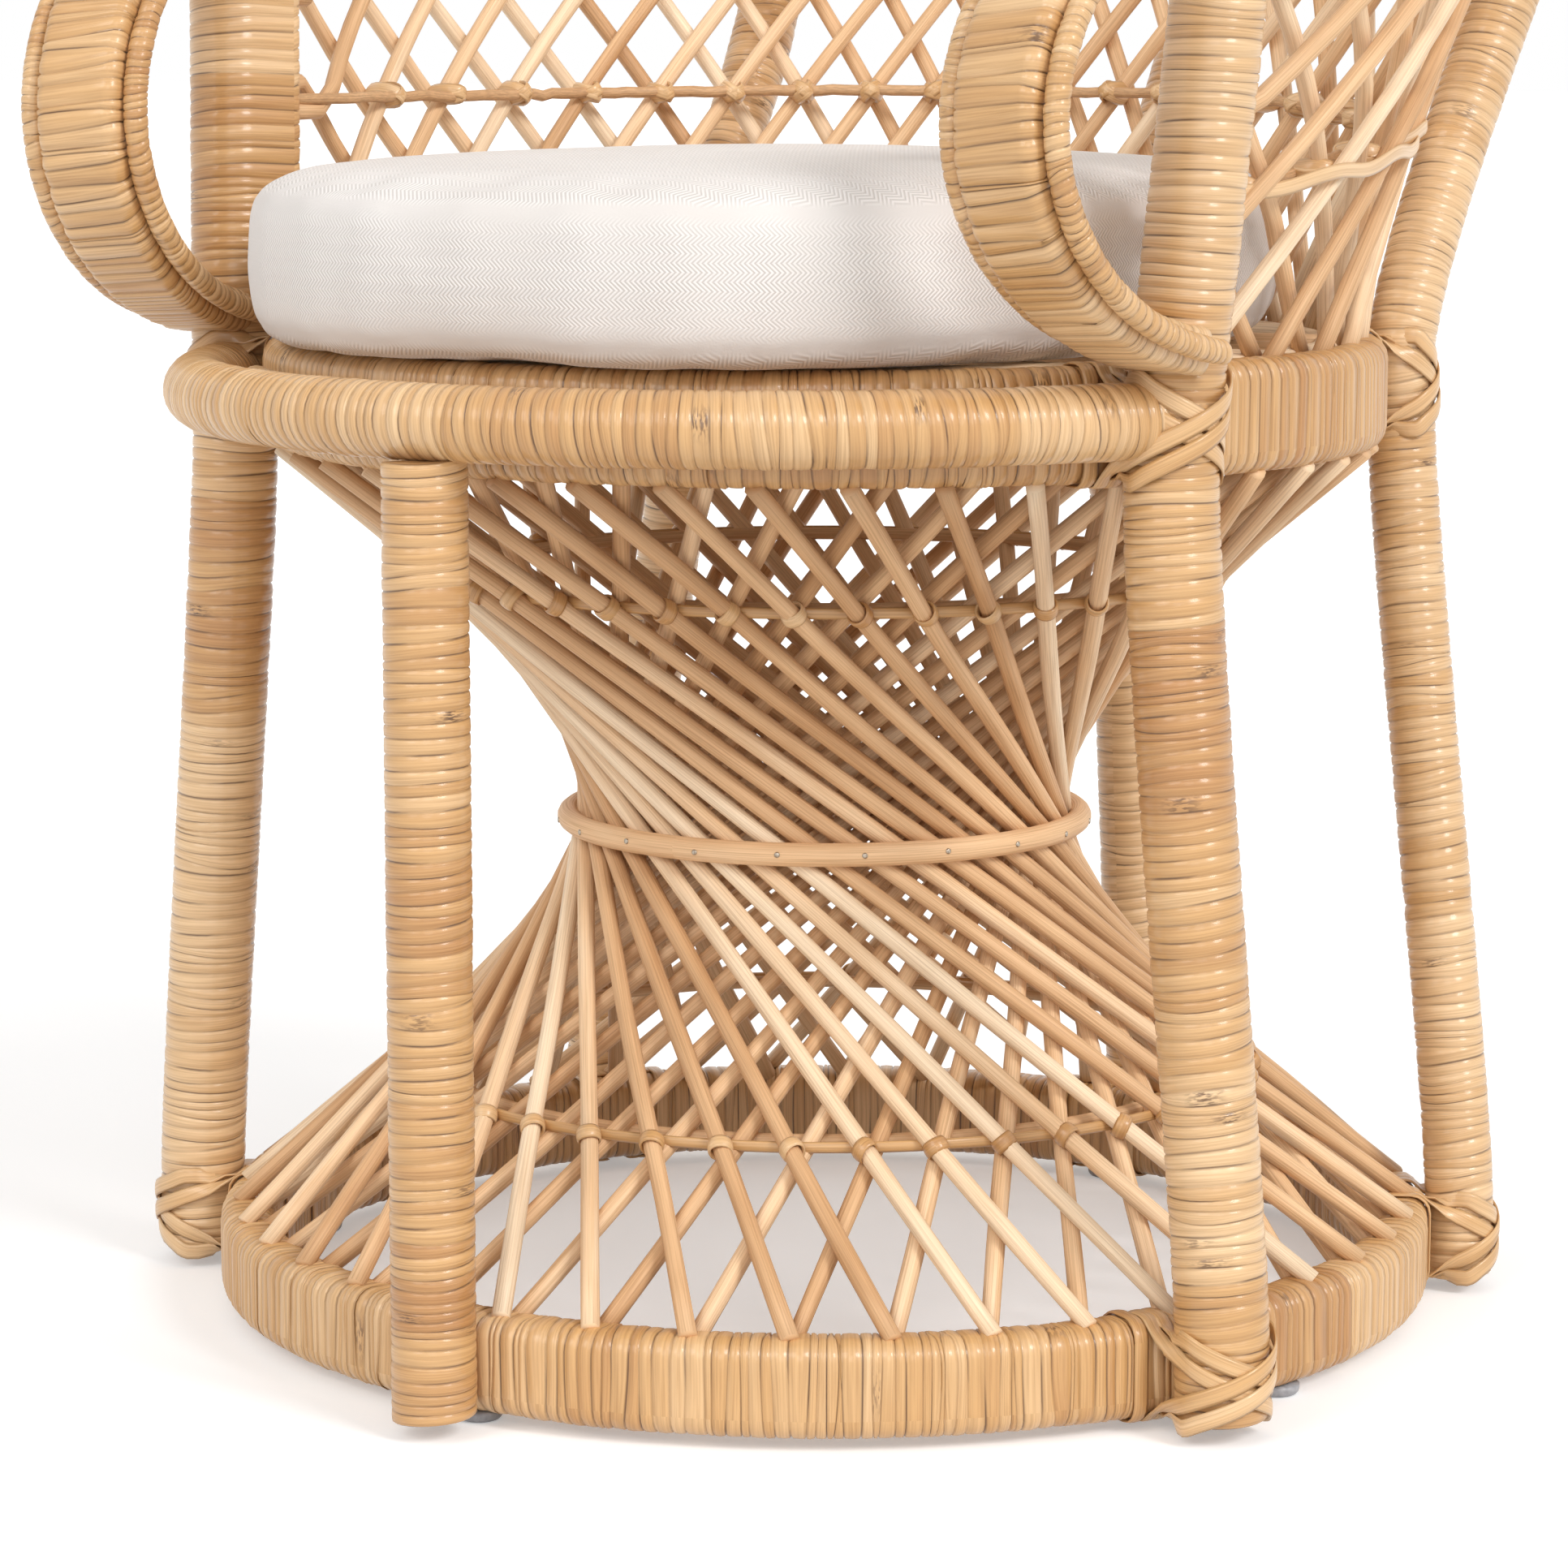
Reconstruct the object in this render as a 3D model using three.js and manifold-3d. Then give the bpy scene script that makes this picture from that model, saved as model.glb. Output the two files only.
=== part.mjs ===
// A rattan peacock chair: a drum base laced as an hourglass of straight canes, six posts round it,
// a round seat with a loose cushion, looped arms and a tall fan back of crossing canes.
// Millimetres, +Z up, the front of the chair faces -Y, and the sitter's left is +X.

import * as THREE from "three";
import { mergeVertices } from "three/addons/utils/BufferGeometryUtils.js";
import Module from "manifold-3d";

const wasm = await Module();
wasm.setup();

// Fit and facets
const FULL_TURN = 360;
const CLEARANCE = 0.3;
const BITE = 1.6;
const ROUND_SIDES = 10;
const CANE_SIDES = 6;
const BENT_CANE_SIDES = 5;
const TIE_SIDES = 4;
const HOOP_STEPS = 40;

// Base and seat hoops
const GLIDE_HEIGHT = 5;
const GLIDE_RADIUS = 10;
const GLIDE_FLAT = 7;
const GLIDE_SIDE_ANGLE = 80;
const BASE_RADIUS = 280;
const BASE_HEIGHT = 43;
const BASE_WALL = 26;
const SEAT_RADIUS = 254.5;
const SEAT_HEIGHT = 49;
const SEAT_WALL = 22;
const SEAT_TOP = 445;
const HOOP_ROUNDING = 6;

// Hourglass of straight canes
const CANE_RADIUS = 4;
const HOURGLASS_CANES = 40;
const HOURGLASS_LAYER_STEP = 14;
const HOURGLASS_INSET = 4;
const WAIST_HEIGHT = 224;
const WAIST_RADIUS = 123;
const WAIST_HOOP_RADIUS = 5.3;
const WAIST_INNER_RADIUS = 95;
const LOWER_TIE_HEIGHT = 110;
const UPPER_TIE_HEIGHT = 337;
const TIE_RADIUS = 3;

// Posts and legs, by their angle round the chair from the front
const POST_FOOT = 6;
const FRONT_LEG_RADIUS = 18;
const LEG_SADDLE = 4;
const ARM_POST_RADIUS = 20;
const ARM_POST_FOOT_ANGLE = 66.5;
const ARM_POST_SEAT_ANGLE = 64;
const ARM_POST_TOP = 655;
const ARM_POST_LEAN_OUT = 0.06;
const ARM_POST_LEAN_BACK = 0.09;
const BACK_POST_RADIUS = 16;
const BACK_POST_FOOT_ANGLE = 123.4;
const BACK_POST_SEAT_ANGLE = 132;
const BACK_POST_ACROSS = 0.43;
const BACK_POST_BOW = 12;
const EDGE_CANE_RADIUS = 5;
const EDGE_CANE_BEARING = -123.5;

// Seat
const RIM_OUTER_RADIUS = 16;
const RIM_INNER_RADIUS = 8;
const RIM_TOP = 440;
const RIM_INNER_DROP = 4;
const RIM_SPREAD = 0.5;
const RIM_FORWARD = 43;
const RIM_OUTER_END = 64;
const RIM_STEPS = 12;
const DECK_CANE_RADIUS = 6;
const DECK_SLATS = 7;

// Cushion
const CUSHION_SIDE_INSET = 37.5;
const CUSHION_END_INSET = 19.5;
const CUSHION_FORWARD = 45;
const CUSHION_HEIGHT = 80;
const CUSHION_CROWN = 8;
const CUSHION_EDGE_DRAW = 30;
const CUSHION_SQUARENESS = 2.4;
const CUSHION_SIDE_SQUARENESS = 2.8;
const CUSHION_AROUND = 32;
const CUSHION_SIDE_STEPS = 6;
const CUSHION_CROWN_STEPS = 3;

// Arms
const ARM_REACH = 127;
const ARM_HALF_HEIGHT = 94;
const ARM_RIM_GAP = 2;
const ARM_TOE_IN = 9;
const ARM_STEPS = 14;
const ARM_BAND_WIDTH = 42;
const ARM_BAND_THICKNESS = 20;
const ARM_CORD_RADIUS = 5;

// Back
const BACK_CANES = 25;
const BACK_CANE_STEPS = 3;
const BACK_HALF_ANGLE = 113;
const BACK_EDGE_SPREAD = 0.2;
const BACK_LAYER_STEP = 11;
const BACK_INSET = 8;
const BACK_LEAN_SWEEP = 35.3;
const BACK_EDGE_LIMIT = 0.95;
const BACK_TIE_HEIGHT = 550;
const BACK_TIE_FALL = 40;
const BACK_TIE_SLACK = 1.8;
const BELT_HEIGHT = 650;
const BELT_FLARE = 30.5;
const BELT_SHIFT = 38;
const BELT_HOOP_RADIUS = 5;
const BELT_STEPS = 26;

// Fan
const FAN_RIM_RADIUS = 16;
const FAN_RIM_STEPS = 32;
const FAN_HALF_WIDTH = 515;
const FAN_WIDEST = 1060;
const FAN_TOP = 1450;
const FAN_TOP_DEPTH = 393;
const FAN_RAKE = 0.67;
const FAN_SWEEP = 0.05;
const FAN_EDGE_LIMIT = 0.86;
const ARCH_SHARE = 0.8;
const ARCH_LIMIT = 0.84;
const SCALLOPS = 18;
const SCALLOP_STEPS = 6;
const SCALLOP_RADIUS = 3.5;
const SCALLOP_SHARE = 0.845;
const SCALLOP_SWING = 0.06;
const SCALLOP_LIMIT = 0.7;

const PEEL = 0xd9b178;
const CORE = 0xcfa56c;
const FABRIC = 0xece5dc;
const PLASTIC = 0x8f9193;

const { degToRad, radToDeg, lerp } = THREE.MathUtils;
const chair = new THREE.Group();

// Solids and booleans
function toSolid(geometry) {
  const bare = geometry.index ? geometry.toNonIndexed() : geometry.clone();
  bare.deleteAttribute("normal");
  bare.deleteAttribute("uv");
  const merged = mergeVertices(bare, 1e-4);
  return new wasm.Manifold(
    new wasm.Mesh({
      numProp: 3,
      vertProperties: new Float32Array(merged.attributes.position.array),
      triVerts: new Uint32Array(merged.index.array),
    }),
  );
}

function toGeometry(solid) {
  const mesh = solid.getMesh();
  const geometry = new THREE.BufferGeometry();
  geometry.setAttribute("position", new THREE.BufferAttribute(mesh.vertProperties, 3));
  geometry.setIndex(new THREE.BufferAttribute(mesh.triVerts, 1));
  geometry.computeVertexNormals();
  return geometry;
}

function fuse(geometries) {
  return geometries.map(toSolid).reduce((whole, piece) => whole.add(piece));
}

function cut(solid, tools) {
  return tools.reduce((rest, tool) => rest.subtract(tool), solid);
}

function add(name, shape, color, roughness = 0.5) {
  const geometry = shape.isBufferGeometry ? shape : toGeometry(shape);
  const material = new THREE.MeshStandardMaterial({ color, roughness, metalness: 0 });
  const mesh = new THREE.Mesh(geometry, material);
  mesh.name = name;
  chair.add(mesh);
}

// Shape helpers
function stations(count, make) {
  return Array.from({ length: count + 1 }, (_, i) => make(i / count));
}

function atAngle(radius, degrees, height) {
  const angle = degToRad(degrees);
  return new THREE.Vector3(radius * Math.sin(angle), -radius * Math.cos(angle), height);
}

function mirrored(points) {
  return points.map((p) => new THREE.Vector3(-p.x, p.y, p.z));
}

function roundSection(radius, sides) {
  const corners = Array.from({ length: sides }, (_, i) => {
    const angle = (2 * Math.PI * i) / sides;
    return new THREE.Vector2(radius * Math.cos(angle), radius * Math.sin(angle));
  });
  return new THREE.Shape(corners);
}

// A smooth curve whose sweeps keep its own points as stations.
class BentCane extends THREE.CatmullRomCurve3 {
  constructor(points) {
    super(points, false, "centripetal");
  }

  getUtoTmapping(share) {
    return share;
  }
}

function sweep(points, section, stepsBetween = 1) {
  const steps = stepsBetween * (points.length - 1);
  const extrudePath = new BentCane(points);
  return new THREE.ExtrudeGeometry(section, { steps, bevelEnabled: false, extrudePath });
}

function tube(points, radius, sides = ROUND_SIDES, stepsBetween = 1) {
  return sweep(points, roundSection(radius, sides), stepsBetween);
}

// A straight round cane whose ends are cut level.
function levelCane(low, high) {
  const along = high.clone().sub(low);
  const flatLength = Math.hypot(along.x, along.y);
  const section = roundSection(CANE_RADIUS, CANE_SIDES);
  const upright = new THREE.ExtrudeGeometry(section, { depth: along.z, steps: 1, bevelEnabled: false });
  const lean = new THREE.Matrix4().set(
    along.length() / along.z, 0, flatLength / along.z, 0,
    0, 1, 0, 0,
    0, 0, 1, 0,
    0, 0, 0, 1,
  );
  const heading = Math.atan2(along.y, along.x);
  return upright.applyMatrix4(lean).rotateZ(heading).translate(low.x, low.y, low.z);
}

function turned(profile, steps) {
  const points = profile.map(([x, y]) => new THREE.Vector2(x, y));
  return new THREE.LatheGeometry(points, steps).rotateX(Math.PI / 2);
}

// A closed hoop of round cane with a flat facing in and out; start turns its first seam.
function ring(radius, tubeRadius, height, sides = CANE_SIDES, start = 0) {
  const profile = Array.from({ length: sides }, (_, i) => {
    const angle = (2 * Math.PI * (i + 0.5)) / sides;
    return [radius + tubeRadius * Math.cos(angle), tubeRadius * Math.sin(angle)];
  });
  profile.push(profile[0]);
  return turned(profile, HOOP_STEPS).rotateZ(degToRad(start)).translate(0, 0, height);
}

// A flat hoop with rounded edges, turned about the chair's axis.
function hoop(outer, wall, bottom, height, grow = 0) {
  const right = outer + grow;
  const left = outer - wall - grow;
  const low = bottom - grow;
  const high = bottom + height + grow;
  const r = HOOP_ROUNDING;
  const profile = [
    [left + r, low],
    [right - r, low],
    [right, low + r],
    [right, high - r],
    [right - r, high],
    [left + r, high],
    [left, high - r],
    [left, low + r],
    [left + r, low],
  ];
  return turned(profile, HOOP_STEPS);
}

// Levels worked out from the driving sizes
const baseTop = GLIDE_HEIGHT + BASE_HEIGHT;
const seatBottom = SEAT_TOP - SEAT_HEIGHT;
const seatMiddle = SEAT_TOP - SEAT_HEIGHT / 2;
const baseMiddleRadius = BASE_RADIUS - BASE_WALL / 2;
const seatMiddleRadius = SEAT_RADIUS - SEAT_WALL / 2;

const baseClear = toSolid(hoop(BASE_RADIUS, BASE_WALL, GLIDE_HEIGHT, BASE_HEIGHT, CLEARANCE));
const seatClear = toSolid(hoop(SEAT_RADIUS, SEAT_WALL, seatBottom, SEAT_HEIGHT, CLEARANCE));
add("base_hoop", hoop(BASE_RADIUS, BASE_WALL, GLIDE_HEIGHT, BASE_HEIGHT), PEEL);
add("seat_hoop", hoop(SEAT_RADIUS, SEAT_WALL, seatBottom, SEAT_HEIGHT), PEEL);

// Domed glides under the base hoop
const glideAngles = { front: 0, left: GLIDE_SIDE_ANGLE, rear: 180, right: -GLIDE_SIDE_ANGLE };
for (const [side, angle] of Object.entries(glideAngles)) {
  const top = GLIDE_HEIGHT - CLEARANCE;
  const profile = [
    [0, 0],
    [GLIDE_FLAT, 0],
    [GLIDE_RADIUS, top / 2],
    [GLIDE_RADIUS, top],
    [0, top],
  ];
  const place = atAngle(baseMiddleRadius, angle, 0);
  const glide = turned(profile, ROUND_SIDES).translate(place.x, place.y, place.z);
  add(`glide_${side}`, glide, PLASTIC, 0.4);
}

// The straight canes of one layer of the hourglass pass the axis at their waist radius.
class HourglassLayer {
  constructor(layerOffset, waistRadius, turn) {
    this.foot = baseMiddleRadius + layerOffset - HOURGLASS_INSET;
    this.head = seatMiddleRadius + layerOffset - HOURGLASS_INSET;
    this.waistRadius = waistRadius;
    this.turn = turn;
    this.low = baseTop + CLEARANCE;
    this.high = seatBottom - CLEARANCE;
    this.footReach = Math.sqrt(this.foot ** 2 - waistRadius ** 2);
    this.headReach = Math.sqrt(this.head ** 2 - waistRadius ** 2);
  }

  // How far along a cane, from its closest point to the axis, it is at a height.
  reachAt(height) {
    const share = (height - this.low) / (this.high - this.low);
    return lerp(this.footReach, -this.headReach, share);
  }

  radiusAt(height) {
    return Math.hypot(this.waistRadius, this.reachAt(height));
  }

  turnAt(height) {
    return this.turn * radToDeg(Math.atan2(this.reachAt(height), this.waistRadius));
  }

  canes() {
    return Array.from({ length: HOURGLASS_CANES }, (_, i) => {
      const middle = (FULL_TURN * i) / HOURGLASS_CANES;
      const low = atAngle(this.foot, middle + this.turnAt(this.low), this.low);
      const high = atAngle(this.head, middle + this.turnAt(this.high), this.high);
      return levelCane(low, high);
    });
  }

  // A hoop at a height, with its seams midway between the canes.
  hoopAt(height, radius, tubeRadius, sides) {
    const halfPitch = FULL_TURN / (2 * HOURGLASS_CANES);
    return ring(radius, tubeRadius, height, sides, this.turnAt(height) + halfPitch);
  }
}

const outerLayer = HOURGLASS_LAYER_STEP / 2;
const waistHoopRadius = WAIST_RADIUS - WAIST_HOOP_RADIUS;
const outerWaist = waistHoopRadius - WAIST_HOOP_RADIUS - CANE_RADIUS + BITE;
const outerCanes = new HourglassLayer(outerLayer, outerWaist, 1);
const waistHoop = outerCanes.hoopAt(WAIST_HEIGHT, waistHoopRadius, WAIST_HOOP_RADIUS, CANE_SIDES);
add("hourglass_outer_canes", fuse([waistHoop, ...outerCanes.canes()]), CORE, 0.6);

const innerCanes = new HourglassLayer(-outerLayer, WAIST_INNER_RADIUS, -1);
const innerTies = [LOWER_TIE_HEIGHT, UPPER_TIE_HEIGHT].map((height) => {
  const radius = innerCanes.radiusAt(height) - CANE_RADIUS - TIE_RADIUS + BITE;
  return innerCanes.hoopAt(height, radius, TIE_RADIUS, TIE_SIDES);
});
add("hourglass_inner_canes", fuse([...innerTies, ...innerCanes.canes()]), CORE, 0.6);

// Arm posts stand against both hoops, then lean a little out and back up to the fan.
const armFoot = BASE_RADIUS + ARM_POST_RADIUS + CLEARANCE;
const armSeat = SEAT_RADIUS + ARM_POST_RADIUS + CLEARANCE;

function armPostAt(height) {
  const rise = height - seatMiddle;
  const base = atAngle(armSeat, ARM_POST_SEAT_ANGLE, height);
  return base.add(new THREE.Vector3(ARM_POST_LEAN_OUT * rise, ARM_POST_LEAN_BACK * rise, 0));
}

function armPostPath(top) {
  return [
    atAngle(armFoot, ARM_POST_FOOT_ANGLE, POST_FOOT),
    atAngle(armFoot, ARM_POST_FOOT_ANGLE, baseTop),
    atAngle(armSeat, ARM_POST_SEAT_ANGLE, seatBottom),
    armPostAt(SEAT_TOP),
    armPostAt(top),
  ];
}

const sides = { left: 1, right: -1 };
const armPostClear = {};
for (const side of Object.keys(sides)) {
  const place = side === "left" ? (path) => path : mirrored;
  const post = tube(place(armPostPath(ARM_POST_TOP)), ARM_POST_RADIUS, ROUND_SIDES, 2);
  add(`arm_post_${side}`, cut(toSolid(post), [baseClear, seatClear]), PEEL);
  const room = place(armPostPath(ARM_POST_TOP + CLEARANCE));
  armPostClear[side] = toSolid(tube(room, ARM_POST_RADIUS + CLEARANCE, ROUND_SIDES, 2));

  // A thinner cane stands on the seat hoop behind each arm post and takes the edge of the back.
  const shift = atAngle(ARM_POST_RADIUS + EDGE_CANE_RADIUS + 2 * CLEARANCE, EDGE_CANE_BEARING, 0);
  const edge = [SEAT_TOP + CLEARANCE, BELT_HEIGHT].map((height) => armPostAt(height).add(shift));
  const edgeCane = toSolid(tube(place(edge), EDGE_CANE_RADIUS));
  add(`back_edge_cane_${side}`, cut(edgeCane, [seatClear]), PEEL);
}
const postTools = Object.values(armPostClear);

// The front rim: a thick tube from post to post over the front leg, bent about a point before the
// chair's axis, and a thinner tube inside it that ends where it meets the seat hoop.
function rimArc(bend, height, endAngle) {
  return stations(RIM_STEPS, (share) => {
    const point = atAngle(bend, lerp(-endAngle, endAngle, share), height);
    return point.add(new THREE.Vector3(0, -RIM_FORWARD, 0));
  });
}

const rimBend = SEAT_RADIUS + RIM_SPREAD;
const rimHeight = RIM_TOP - RIM_OUTER_RADIUS;
const rimEnd = armPostAt(rimHeight);
const outerRimPath = [
  ...mirrored([rimEnd]),
  ...rimArc(rimBend, rimHeight, RIM_OUTER_END),
  rimEnd,
];
const innerRimHeight = RIM_TOP - RIM_INNER_DROP - RIM_INNER_RADIUS;
const rimTouch = RIM_OUTER_RADIUS + RIM_INNER_RADIUS + CLEARANCE;
const innerBend = rimBend - Math.sqrt(rimTouch ** 2 - (innerRimHeight - rimHeight) ** 2);
const hoopTouch = SEAT_RADIUS + RIM_INNER_RADIUS + CLEARANCE;
const innerEndCos = (hoopTouch ** 2 - innerBend ** 2 - RIM_FORWARD ** 2) / (2 * innerBend * RIM_FORWARD);
const innerRimPath = rimArc(innerBend, innerRimHeight, radToDeg(Math.acos(innerEndCos)));
const rimClear = toSolid(tube(outerRimPath, RIM_OUTER_RADIUS + CLEARANCE));
add("front_rim_outer", cut(toSolid(tube(outerRimPath, RIM_OUTER_RADIUS)), postTools), PEEL);
add("front_rim_inner", tube(innerRimPath, RIM_INNER_RADIUS), PEEL);

// The front leg stands upright and is hollowed at the top to take the outer rim tube.
const frontLegPath = [
  atAngle(BASE_RADIUS + FRONT_LEG_RADIUS + CLEARANCE, 0, POST_FOOT),
  atAngle(rimBend + RIM_FORWARD, 0, RIM_TOP - 2 * RIM_OUTER_RADIUS + LEG_SADDLE),
];
add("front_leg", cut(toSolid(tube(frontLegPath, FRONT_LEG_RADIUS)), [baseClear, rimClear]), PEEL);

// A deck of canes inside the seat hoop carries the cushion.
const deckRadius = SEAT_RADIUS - SEAT_WALL - CLEARANCE - DECK_CANE_RADIUS;
const deckHeight = SEAT_TOP - DECK_CANE_RADIUS;
const slats = Array.from({ length: DECK_SLATS }, (_, i) => {
  const y = lerp(-deckRadius, deckRadius, (i + 1) / (DECK_SLATS + 1));
  const half = Math.sqrt(deckRadius ** 2 - y ** 2);
  const ends = [-half, half].map((x) => new THREE.Vector3(x, y, deckHeight));
  return tube(ends, DECK_CANE_RADIUS, CANE_SIDES);
});
add("seat_deck", fuse([ring(deckRadius, DECK_CANE_RADIUS, deckHeight, TIE_SIDES), ...slats]), CORE, 0.7);

// The cushion: a rounded square in plan, with full sides drawn in to its seams and a crowned top.
function squared(value, squareness) {
  return Math.sign(value) * Math.abs(value) ** (2 / squareness);
}

const cushionHalfWidth = SEAT_RADIUS - CUSHION_SIDE_INSET;
const cushionHalfDepth = SEAT_RADIUS - CUSHION_END_INSET;

function cushionOutline(scale, drawnIn, height) {
  return Array.from({ length: CUSHION_AROUND }, (_, i) => {
    const angle = (2 * Math.PI * i) / CUSHION_AROUND;
    const x = scale * (cushionHalfWidth - drawnIn) * squared(Math.cos(angle), CUSHION_SQUARENESS);
    const y = scale * (cushionHalfDepth - drawnIn) * squared(Math.sin(angle), CUSHION_SQUARENESS);
    return new THREE.Vector3(x, y - CUSHION_FORWARD, height);
  });
}

function cushionOutlines(bottom) {
  const side = CUSHION_HEIGHT - CUSHION_CROWN;
  const sideRings = stations(CUSHION_SIDE_STEPS, (share) => {
    const lean = Math.PI * (share - 0.5);
    const drawnIn = CUSHION_EDGE_DRAW * (1 - squared(Math.cos(lean), CUSHION_SIDE_SQUARENESS));
    const rise = (1 + squared(Math.sin(lean), CUSHION_SIDE_SQUARENESS)) / 2;
    return cushionOutline(1, drawnIn, bottom + side * rise);
  });
  const crownRings = Array.from({ length: CUSHION_CROWN_STEPS - 1 }, (_, i) => {
    const scale = 1 - (i + 1) / CUSHION_CROWN_STEPS;
    return cushionOutline(scale, CUSHION_EDGE_DRAW, bottom + side + CUSHION_CROWN * (1 - scale ** 2));
  });
  return [...sideRings, ...crownRings];
}

// A closed skin over outlines of equal count, with a point in the middle of both ends.
function skin(outlines, lowPole, highPole) {
  const around = outlines[0].length;
  const points = [...outlines.flat(), lowPole, highPole];
  const last = points.length - 2 - around;
  const faces = [];
  for (let i = 0; i < around; i++) {
    const next = (i + 1) % around;
    faces.push(points.length - 2, next, i);
    for (let low = 0; low < last; low += around) {
      const high = low + around;
      faces.push(low + i, low + next, high + next, low + i, high + next, high + i);
    }
    faces.push(last + i, last + next, points.length - 1);
  }
  const geometry = new THREE.BufferGeometry().setFromPoints(points);
  geometry.setIndex(faces);
  geometry.computeVertexNormals();
  return geometry;
}

const cushionBottom = SEAT_TOP + CLEARANCE;
const cushionPoles = [cushionBottom, cushionBottom + CUSHION_HEIGHT].map((height) => {
  return new THREE.Vector3(0, -CUSHION_FORWARD, height);
});
add("seat_cushion", skin(cushionOutlines(cushionBottom), ...cushionPoles), FABRIC, 0.95);

// Arms: a wide flat band bent into a half loop before each post, with a round cord on both edges.
const halfBand = ARM_BAND_WIDTH / 2;
const halfThick = ARM_BAND_THICKNESS / 2;
const armMiddle = RIM_TOP + ARM_RIM_GAP + halfThick + ARM_HALF_HEIGHT;
const armDrop = ARM_POST_LEAN_BACK * ARM_HALF_HEIGHT;
const armBite = ARM_POST_RADIUS / 2;
const armStart = -Math.acos((armBite + armDrop) / ARM_REACH);
const armEnd = Math.acos((armBite - armDrop) / ARM_REACH);

function armPath(across) {
  return stations(ARM_STEPS, (share) => {
    const angle = lerp(armStart, armEnd, share);
    const reach = ARM_REACH * Math.cos(angle);
    return new THREE.Vector3(across, -reach, armMiddle + ARM_HALF_HEIGHT * Math.sin(angle));
  });
}

const bandCorner = halfThick / 2;
const bandSection = new THREE.Shape(
  [
    [halfBand, -bandCorner],
    [halfBand, bandCorner],
    [halfBand - bandCorner, halfThick],
    [bandCorner - halfBand, halfThick],
    [-halfBand, bandCorner],
    [-halfBand, -bandCorner],
    [bandCorner - halfBand, -halfThick],
    [halfBand - bandCorner, -halfThick],
  ].map(([x, y]) => new THREE.Vector2(x, y)),
);
const cordShift = halfBand + ARM_CORD_RADIUS + CLEARANCE;
const armRoot = armPostAt(armMiddle);
for (const [side, sign] of Object.entries(sides)) {
  const seatArm = (geometry) => {
    const turnedIn = geometry.rotateZ(-sign * degToRad(ARM_TOE_IN));
    return cut(toSolid(turnedIn.translate(sign * armRoot.x, armRoot.y, 0)), [armPostClear[side]]);
  };
  add(`arm_band_${side}`, seatArm(sweep(armPath(0), bandSection)), PEEL);
  for (const [edge, shift] of Object.entries({ inner: -cordShift, outer: cordShift })) {
    const cord = tube(armPath(sign * shift), ARM_CORD_RADIUS, CANE_SIDES);
    add(`arm_cord_${side}_${edge}`, seatArm(cord), PEEL);
  }
}

// The back below the belt is part of a cone. Places across it run from -1 at the right to 1 at the left,
// and lie wider apart towards both edges.
function backPoint(across, height, offset) {
  const share = (height - SEAT_TOP) / (BELT_HEIGHT - SEAT_TOP);
  const radius = lerp(seatMiddleRadius - BACK_INSET, SEAT_RADIUS + BELT_FLARE, share) + offset;
  const spread = across * (1 - BACK_EDGE_SPREAD * (1 - across ** 2));
  const around = atAngle(radius, 180 - BACK_HALF_ANGLE * spread, height);
  return around.add(new THREE.Vector3(0, BELT_SHIFT * share, 0));
}

// The fan's rim: an ellipse from post to post, fuller below its widest level, that rakes back as it rises.
const rimStart = armPostAt(ARM_POST_TOP - FAN_RIM_RADIUS);
const rimStartAngle = Math.PI - Math.asin(rimStart.x / FAN_HALF_WIDTH);
const rimDrop = (rimStart.z - FAN_WIDEST) / Math.cos(rimStartAngle);

function fanRimPoint(across) {
  const angle = rimStartAngle * across;
  const fall = Math.cos(angle);
  const z = FAN_WIDEST + fall * (fall > 0 ? FAN_TOP - FAN_WIDEST : rimDrop);
  const rise = Math.max(0, (z - rimStart.z) / (FAN_TOP - rimStart.z));
  const y = lerp(rimStart.y, FAN_TOP_DEPTH, rise ** FAN_RAKE);
  return new THREE.Vector3(FAN_HALF_WIDTH * Math.sin(angle), y, z);
}

// The fan is ruled from the belt at share 0 to the rim at share 1; a positive offset is behind it.
function fanPoint(across, share, offset) {
  const onSurface = (u, f) => backPoint(u, BELT_HEIGHT, 0).lerp(fanRimPoint(u), f);
  const step = 0.01;
  const side = onSurface(across + step, share).sub(onSurface(across - step, share));
  const up = onSurface(across, share + step).sub(onSurface(across, share - step));
  return onSurface(across, share).addScaledVector(up.cross(side).normalize(), offset);
}

const fanRimPath = stations(FAN_RIM_STEPS, (share) => fanRimPoint(lerp(-1, 1, share)));
const fanRimClear = toSolid(tube(fanRimPath, FAN_RIM_RADIUS + CLEARANCE));
add("fan_rim", cut(toSolid(tube(fanRimPath, FAN_RIM_RADIUS)), postTools), PEEL);

// One cane of the back leans round the seat as far as the belt, then runs on to the rim.
const sweepShare = BACK_LEAN_SWEEP / BACK_HALF_ANGLE;
const footShare = CANE_RADIUS / (BELT_HEIGHT - SEAT_TOP);

function backCane(foot, turn, offset) {
  const edgeShare = (-BACK_EDGE_LIMIT - turn * foot) / sweepShare;
  const start = Math.max(footShare, edgeShare);
  const points = stations(BACK_CANE_STEPS, (share) => {
    const rise = lerp(start, 1, share);
    const height = lerp(SEAT_TOP, BELT_HEIGHT, rise);
    return backPoint(foot + turn * sweepShare * rise, height, offset);
  });
  const belt = foot + turn * sweepShare;
  if (Math.abs(belt) < FAN_EDGE_LIMIT) {
    const shares = [ARCH_SHARE / 2, ARCH_SHARE, 1];
    points.push(...shares.map((share) => fanPoint(belt + turn * FAN_SWEEP * share, share, offset)));
  }
  return tube(points, CANE_RADIUS, BENT_CANE_SIDES);
}

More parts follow.
